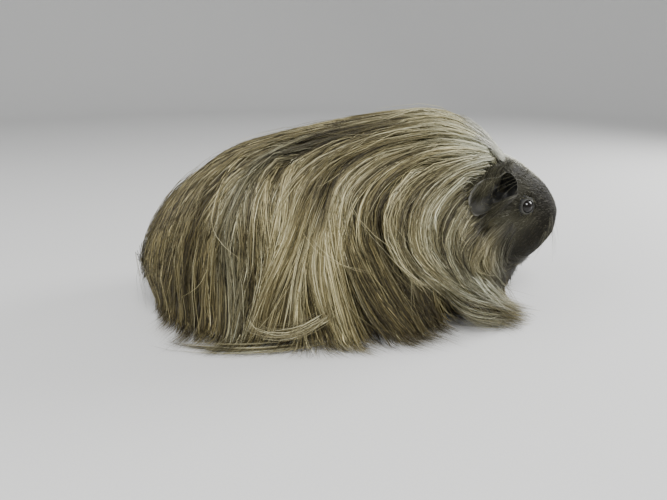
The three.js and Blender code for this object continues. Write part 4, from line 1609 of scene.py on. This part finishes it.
def ear_way(places):
    """The lie of the ear's own short hair: back and down to its rim."""
    return np.tile((-0.8, 0.0, -0.6), (len(places), 1))


def ear_wanted(places):
    """Where the ear's own hair grows: all over it but deep in its cup."""
    return smooth(np.hypot(places[:, 0] - EAR["x"], places[:, 2] - EAR["z"]), 5, 9)


def ear_fuzz(name, tree, points, faces):
    """Short soft hair on the ear, paler at its back."""
    seeds = spread_on(points, faces, 210, ear_wanted)
    roots = tuft_roots(seeds, 0.3)
    total = len(roots)
    length, lift = rng.uniform(2.4, 4.2, total), rng.uniform(0.2, 0.6, total)
    hairs = short_hairs(tree, roots, ear_way, length, lift, 0.3)
    pale = np.repeat(np.abs(rng.normal(0.10, 0.12, len(seeds))), TUFT)
    pale = pale + 0.14 * ebb(roots[:, 0], 80, 88)
    width = rng.uniform(0.16, 0.26, total)
    return short_piece(name, hairs, face_colours(pale), width, roots)


def cheek_hair(side):
    """Grey hair from below the ear and eye, down and back into the mane."""
    count = 122
    x, angle = rng.uniform(80, 111, count) + rng.normal(0, 2, count), rng.uniform(64, 144, count)
    off_the_eye = (x - 80) / 32 + (108 - angle) / 60 < 1.45
    roots = x[off_the_eye], angle[off_the_eye]
    hairs = lock_hairs(mane_lie[side], side, roots, CHEEK)
    total = len(hairs["which"])
    x, z = hairs["points"][..., 0], hairs["points"][..., 2]
    back, front = ebb(x, 84, 99), smooth(x, 96, 108)
    own = rng.normal(0, 0.08, hairs["locks"])[hairs["which"]][:, None]
    own = own + rng.normal(0, 0.11, (total, 1))
    light = rng.uniform(0, 1, (total, 1)) < 0.22
    pale = 0.10 + 0.14 * back - 0.07 * front + 0.22 * light * (1 - 0.6 * front)
    pale = pale + 0.14 * ebb(z, 42, 56) * (1 - smooth(x, 99, 108))
    face = face_colours(np.maximum(pale + 0.7 * own, 0.0))
    coat = hair_colour(0.30 + 0.16 * ebb(z, 46, 66) + 1.3 * own, 0.45 + 0 * pale)
    mix = (back * ebb(z, 56, 74))[..., None]
    hairs["colour"] = face * (1 - mix) + coat * mix
    hairs["width"] = rng.uniform(0.22, 0.36, total)
    return [hairs]


def bent_hairs(start, over, tip):
    """Hairs in one easy bend, each from its root over a middle place to its tip."""
    t = np.linspace(0, 1, HAIR_POINTS)[None, :, None]
    return (1 - t) ** 2 * start[:, None] + 2 * t * (1 - t) * over[:, None] + t**2 * tip[:, None]


def places_along(part, start, travel):
    """Places that move from start by travel as part goes from 0 to 1."""
    return np.array(start) + part * np.array(travel)


def stand_clear(path, side, tree):
    """Moves what would lie in the ear or the head out to a little over their surface."""
    clear = rng.uniform(0.25, 1.2, len(path))
    for hair, room in zip(path, clear):
        for place in hair[1:]:
            hit = tree.ray_cast((place[0], side * 70, place[2]), (0, -side, 0), 60)[0]
            if hit is not None and abs(place[1]) < abs(hit.y) + room:
                place[1] = side * (abs(hit.y) + room)


def ear_wisps(name, side, tree):
    """Longer hair that falls from the crown over the middle and back of the ear, a few pale hairs
    that cross its cup, and more below its canal. All of it lies on the ear, not in it."""
    falling, crossing, below = 300, 4, 230
    along = rng.uniform(0, 1, (falling, 1)) ** 0.68 + rng.normal(0, 0.07, (falling, 1))
    behind = smooth(along, 0.28, 0.36)
    out = 9 + 17 * rng.uniform(0, 1, (falling, 1))
    start = np.hstack([104 - 20 * along, out, 105 - 2 * along])
    out = 20.5 + 9.5 * behind + rng.uniform(0, 3, (falling, 1))
    over = np.hstack([98 - 19 * along, out, 102 - 2 * along])
    tip = (99, 32, 99) - along * (14, 0, 14) - behind * (13, -7, 4)
    tip = tip + rng.normal(0, 1, (falling, 3)) * (2.0, 1, 1.5) * (0.6 + behind)
    lead = np.linspace(0, 1, crossing)[:, None]
    front = places_along(lead, (102, 31, 99), (0, 0, -7))
    middle = places_along(lead, (95, 40, 98), (0, 0, -5))
    back = places_along(lead, (80, 41, 93), (7, 0, -9)) + rng.normal(0, 1, (crossing, 3))
    row = rng.uniform(0, 1, (below, 1))
    low = places_along(row, (105, 30, 86), (-9, 0, -8))
    under = places_along(row, (95, 43, 88), (-6, 0, -10)) + rng.normal(0, 1, (below, 3))
    end = places_along(row, (84, 43, 80), (-4, 0, -9)) + rng.normal(0, 2.0, (below, 3))
    ways = [(start, over, tip), (front, middle, back), (low, under, end)]
    path = np.concatenate([bent_hairs(*way) for way in ways])
    path[..., 1] *= side
    path[:, 0] = snap(tree, path[:, 0])[0]
    stand_clear(path, side, tree)
    outward = np.zeros_like(path)
    outward[..., 1] = side
    tones = np.abs(rng.normal(0.16, 0.14, falling)), np.full(crossing, 0.42)
    pale = np.concatenate([*tones, rng.normal(0.12, 0.16, below)])
    widths = rng.uniform(0.2, 0.34, falling), np.full(crossing, 0.12), np.full(below, 0.26)
    fade = np.linspace(0.6, 1.15, HAIR_POINTS)[None, :, None]
    colours = face_colours(np.maximum(pale, 0))[:, None] * fade
    width, taper = np.concatenate(widths), long_taper(HAIR_POINTS)
    return hairs_mesh(name, path, outward, width, taper, colours, root_on_body(path[:, 0]))


# The hairs over the eye: where each starts, and its way.
BROW_STARTS = [[116.5, 19.5, 82.0], [118.0, 18.5, 81.0], [114.5, 20.5, 82.5]]
BROW_WAYS = [[-0.1, 0.8, 0.7], [0.1, 0.8, 0.6], [-0.3, 0.8, 0.7]]


def whiskers(name, side):
    """Stiff hairs from the muzzle and a few over the eye."""
    count, points, thick = 20, 8, 0.18
    row = np.arange(count) / (count - 1)
    start = np.stack([136.5 - 5 * row, 7.5 + 4.5 * row, 64 - 6 * np.sin(row * 9)], 1)
    start += rng.normal(0, 0.5, (count, 3))
    way = unit(np.stack([0.35 - 0.9 * row, 1.0 + 0 * row, -0.5 - 0.3 * np.sin(row * 9)], 1))
    length = rng.uniform(14, 28, (count, 1))
    start = np.concatenate([start, BROW_STARTS])
    way = np.concatenate([way, unit(np.array(BROW_WAYS))])
    length = np.concatenate([length, rng.uniform(12, 18, (len(BROW_STARTS), 1))])
    t = np.linspace(0, 1, points)[None, :, None]
    droop = np.array([-0.22, -0.1, -0.3])
    path = start[:, None] + way[:, None] * length[:, None] * t + droop * length[:, None] * t**2
    path[..., 1] *= side
    outward = np.zeros_like(path) + (0, 0, 1.0)
    colours = face_colours(rng.uniform(0.1, 0.5, len(path)))[:, None] * np.ones((1, points, 1))
    taper, width = np.linspace(1, 0, points) ** 0.7, np.full(len(path), thick)
    root = root_on_body(path[:, 0])
    return hairs_mesh(name, path, outward, width, taper, colours, root, flat=1.0)


def make_claws():
    """The claws of all four feet: ten-sided horns, curved down to the floor."""
    feet = [(side, foot) for side in (1, -1) for foot in FEET.values()]
    path = np.stack([line for side, foot in feet for line in claw_lines(foot, side)])
    outward = np.zeros_like(path) + (0, 0, 1.0)
    taper, width = np.linspace(1, 0, path.shape[1]) ** 0.6, np.full(len(path), CLAW_WIDTH)
    grey = np.full(path.shape, 0.1)
    root = root_on_body(path[:, 0])
    return hairs_mesh("claws", path, outward, width, taper, grey, root, sides=10, flat=0.85)


# ---------------------------------------------------------------- materials


def cloudy_colour(nodes, links, place, pair):
    """A colour that drifts between two, from fine noise on the piece."""
    ramp = nodes.new("ShaderNodeValToRGB")
    cloud = nodes.new("ShaderNodeTexNoise")
    cloud.inputs["Scale"].default_value = 900
    links.new(place, cloud.inputs["Vector"])
    links.new(cloud.outputs["Fac"], ramp.inputs["Fac"])
    for stop, value in zip(ramp.color_ramp.elements, pair):
        stop.color = (*value, 1)
    return ramp.outputs["Color"]


def relief(nodes, links, place, layer, below):
    """One layer of fine relief, on top of the one below it if there is one."""
    scale, strength, depth, stretch = layer
    mapping = nodes.new("ShaderNodeMapping")
    mapping.inputs["Scale"].default_value = (1 / stretch, 1, 1)
    links.new(place, mapping.inputs["Vector"])
    noise = nodes.new("ShaderNodeTexNoise")
    noise.inputs["Scale"].default_value = scale
    noise.inputs["Detail"].default_value = 3
    links.new(mapping.outputs["Vector"], noise.inputs["Vector"])
    bump = nodes.new("ShaderNodeBump")
    bump.inputs["Strength"].default_value = strength
    bump.inputs["Distance"].default_value = depth
    links.new(noise.outputs["Fac"], bump.inputs["Height"])
    if below is not None:
        links.new(below, bump.inputs["Normal"])
    return bump.outputs["Normal"]


def material(name, roughness, specular, layers=(), pair=None, gloss=(1, 1, 1)):
    """A surface whose colour is the piece's own markings and painted light, or drifts between a pair
    of colours. Each layer of relief is (scale per metre, strength, depth in metres, stretch along
    X)."""
    mat = bpy.data.materials.new(name)
    mat.use_nodes = True
    nodes, links = mat.node_tree.nodes, mat.node_tree.links
    shader = nodes["Principled BSDF"]
    shader.inputs["Roughness"].default_value = roughness
    shader.inputs["Specular IOR Level"].default_value = specular
    shader.inputs["Specular Tint"].default_value = (*gloss, 1)
    place = nodes.new("ShaderNodeTexCoord").outputs["Object"]
    if pair is None:
        marking_and_painted_light = nodes.new("ShaderNodeAttribute")
        marking_and_painted_light.attribute_name = "marking_and_painted_light"
        colour = marking_and_painted_light.outputs["Color"]
    else:
        colour = cloudy_colour(nodes, links, place, pair)
    links.new(colour, shader.inputs["Base Color"])
    normal = None
    for layer in layers:
        normal = relief(nodes, links, place, layer, normal)
    if normal is not None:
        links.new(normal, shader.inputs["Normal"])
    return mat


EYE_PAIR = (0.003, 0.0025, 0.002), (0.010, 0.007, 0.005)
CLAW_PAIR = (0.05, 0.045, 0.035), (0.13, 0.11, 0.085)
FLOOR_PAIR = (0.62, 0.62, 0.61), (0.68, 0.68, 0.67)

hair_finish = material("long_hair", 0.42, 0.5, gloss=(1, 0.96, 0.86))
face_finish = material("face_hair", 0.5, 0.2, gloss=(1, 0.92, 0.72))
short_fur_finish = material("short_fur", 0.6, 0.12, [(1400, 0.7, 0.0005, 5)])
pores, folds = (2200, 0.6, 0.0003, 1), (500, 0.4, 0.0004, 1)
bare_finish = material("bare_skin", 0.5, 0.22, [pores, folds])
eye_finish = material("eye", 0.04, 0.38, pair=EYE_PAIR)
claw_finish = material("claw", 0.35, 0.5, [(1500, 0.3, 0.0002, 4)], CLAW_PAIR)
floor_finish = material("floor", 0.7, 0.3, [(60, 0.1, 0.001, 1)], FLOOR_PAIR)


# ---------------------------------------------------------------- make


def finish_piece(obj, finish):
    """Gives a piece its finish, and has it ride the one body."""
    obj.data.materials.append(finish)
    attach(obj, "root")


def joined(*shells):
    """Several shells of (points, faces) as one."""
    points, faces, start = [], [], 0
    for shell_points, shell_faces in shells:
        points.append(shell_points)
        faces.append(shell_faces + start)
        start += len(shell_points)
    return np.concatenate(points), np.concatenate(faces)


def tree_from(*shells):
    """One search tree over several shells."""
    points, faces = joined(*shells)
    return BVHTree.FromPolygons(points.tolist(), faces.tolist())


def make_trunk_and_head():
    """The skin of trunk and head, in the coat's and the face's markings with their painted sheen and
    shade, and its shell.
    """
    points, rows = skin_net()
    points, quads, tris = closed_net(points, rows, SKIN_TURNS)
    obj = make_mesh("skin", points, quads, tris)
    x = points[:, 0]
    face = face_colours(face_tone(points) * (1 - smooth(x, 132, 138)) * 0.8)
    coat = hair_colour(*coat_tone(*root_on_body(points).T)) * 0.75
    under_coat = ebb(x, 80, 96)[:, None]
    set_colours(obj, face * (1 - under_coat) + coat * under_coat)
    obj.data.materials.append(short_fur_finish)
    return obj, (points, quads)


def make_bare_shell(name, points, faces, colours):
    """A lid or an ear, before it is joined to the skin."""
    obj = make_mesh(name, points, faces)
    set_colours(obj, colours)
    obj.data.materials.append(bare_finish)
    return obj, (points, faces)


def make_furred_foot(name, foot, side):
    """A foot with its markings, before it is joined to the skin."""
    obj = make_foot(name, foot, side)
    points, faces = mesh_arrays(obj)
    fur = smooth(points[:, 2], 1.5, 4)
    set_colours(obj, (0.05 - 0.03 * fur)[:, None] * np.array([1.05, 0.95, 0.85]))
    obj.data.materials.append(short_fur_finish)
    return obj, (points, faces)


def make_skin():
    """One skin over trunk, head, lids, ears and feet, and the shells that hair grows on."""
    skin, trunk = make_trunk_and_head()
    tree = tree_from(trunk)
    lids, ears, feet, parts = {}, {}, [], []
    for name, side in SIDES.items():
        obj, lids[name] = make_bare_shell(f"lid_{name}", *lid_net(name, side, tree))
        parts.append(obj)
        obj, ears[name] = make_bare_shell(f"ear_{name}", *ear_net(side))
        parts.append(obj)
    for name, side in SIDES.items():
        for kind, foot in FEET.items():
            obj, shell = make_furred_foot(f"{kind}foot_{name}", foot, side)
            parts.append(obj)
            feet.append(shell)
    activate(skin)
    for part in parts:
        part.select_set(True)
    bpy.ops.object.join()
    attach(skin, "root")
    flesh = [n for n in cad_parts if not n.startswith(("eye_", "coat_"))]
    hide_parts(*flesh)
    return trunk, tree, lids, ears, feet


# Each piece of the long coat on one side: what makes it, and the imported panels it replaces.
COAT_PIECES = {
    "rump_hair": (rump_hair, ("rump", "hip")),
    "flank_hair": (flank_hair, ("flank", "side")),
    "under_hair": (under_hair, ()),
    "mane": (mane_hair, ("shoulder",)),
    "chest_hair": (chest_hair, ()),
    "sweep_hair": (sweep_hair, ()),
    "stray_hair": (stray_hair, ()),
    "crown_hair": (crown_hair, ()),
}


def make_coat(name, turn):
    """The long coat of one side."""
    for kind, (make, panels) in COAT_PIECES.items():
        piece = coat_piece(f"{kind}_{name}", make(turn))
        finish_piece(piece, hair_finish)
        if panels:
            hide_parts(*(f"coat_{panel}_{name}" for panel in panels))


def make_head_hair(name, side, trunk, lids, ear):
    """The hair of one side of the face, over and on its ear, and the whiskers."""
    head_tree = tree_from(trunk, *lids.values())
    face = face_hair(f"face_hair_{name}", side, head_tree, *joined(trunk, lids[name]))
    finish_piece(face, face_finish)
    wisps = ear_wisps(f"ear_wisps_{name}", side, tree_from(trunk, ear))
    finish_piece(wisps, face_finish)
    finish_piece(ear_fuzz(f"ear_fuzz_{name}", tree_from(ear), *ear), face_finish)
    finish_piece(whiskers(f"whiskers_{name}", side), face_finish)


trunk, skin_tree, lids, ears, feet = make_skin()
for name, turn in (("right", RIGHT), ("left", LEFT)):
    make_coat(name, turn)
for name, side in SIDES.items():
    make_head_hair(name, side, trunk, lids, ears[name])
finish_piece(blaze_hair(skin_tree), face_finish)
finish_piece(bristles(skin_tree), face_finish)
finish_piece(belly_hair(skin_tree, *trunk), hair_finish)
finish_piece(leg_hair(tree_from(*feet), *joined(*feet)), face_finish)
finish_piece(make_claws(), claw_finish)
for name, side in SIDES.items():
    eye = make_eye(name, side)
    finish_piece(eye, eye_finish)
    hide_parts(f"eye_{name}")


# ---------------------------------------------------------------- studio


def studio_floor():
    """A round pale floor that curves up into a low wall far away on every side."""
    turns = 96
    bend = np.linspace(0, np.pi / 2, 14)
    reach = np.concatenate([[400, 900], 1500 + 600 * np.sin(bend), [2100]])
    height = np.concatenate([[0, 0], 600 - 600 * np.cos(bend), [1000]])
    turn = np.linspace(0, 2 * np.pi, turns, endpoint=False)
    ring = np.stack([np.cos(turn), np.sin(turn)], 1)
    rings = [np.column_stack([r * ring, np.full(turns, h)]) for r, h in zip(reach, height)]
    points = np.concatenate([*rings, [[0.0, 0.0, 0.0]]])
    step = np.arange(turns)
    middle = np.stack([step, (step + 1) % turns, np.full(turns, len(points) - 1)], 1)
    floor = make_mesh("floor", points, net_faces(len(rings), turns)[:, ::-1], middle)
    floor.data.materials.append(floor_finish)


studio_floor()

LOOKING_DOWN = 20.3  # degrees
camera = bpy.data.cameras.new("camera")
camera.lens = 27.53
camera.sensor_width = 36
viewer = bpy.data.objects.new("camera", camera)
viewer.location = (-0.0107, -0.338, 0.1626)
viewer.rotation_euler = (math.radians(90 - LOOKING_DOWN), 0, 0)
bpy.context.scene.collection.objects.link(viewer)
bpy.context.scene.camera = viewer


def area_light(name, place, aim, size, watts):
    """A square soft light that looks at a place."""
    light = bpy.data.lights.new(name, "AREA")
    light.energy = watts
    light.size = size
    obj = bpy.data.objects.new(name, light)
    obj.location = place
    obj.rotation_euler = (Vector(aim) - Vector(place)).to_track_quat("-Z", "Y").to_euler()
    obj.visible_camera = False
    bpy.context.scene.collection.objects.link(obj)


area_light("key", (0.15, -0.75, 1.0), (0, 0, 0.05), 0.5, 17)
area_light("rim", (0.82, 0.34, 0.5), (0.05, 0, 0.07), 0.4, 10)
area_light("fill", (-0.9, -0.3, 0.7), (0, 0, 0.05), 0.7, 6)
world = bpy.data.worlds.new("studio")
world.use_nodes = True
sky = world.node_tree.nodes["Background"]
sky.inputs["Color"].default_value = (0.97, 0.98, 1, 1)
sky.inputs["Strength"].default_value = 0.5
bpy.context.scene.world = world
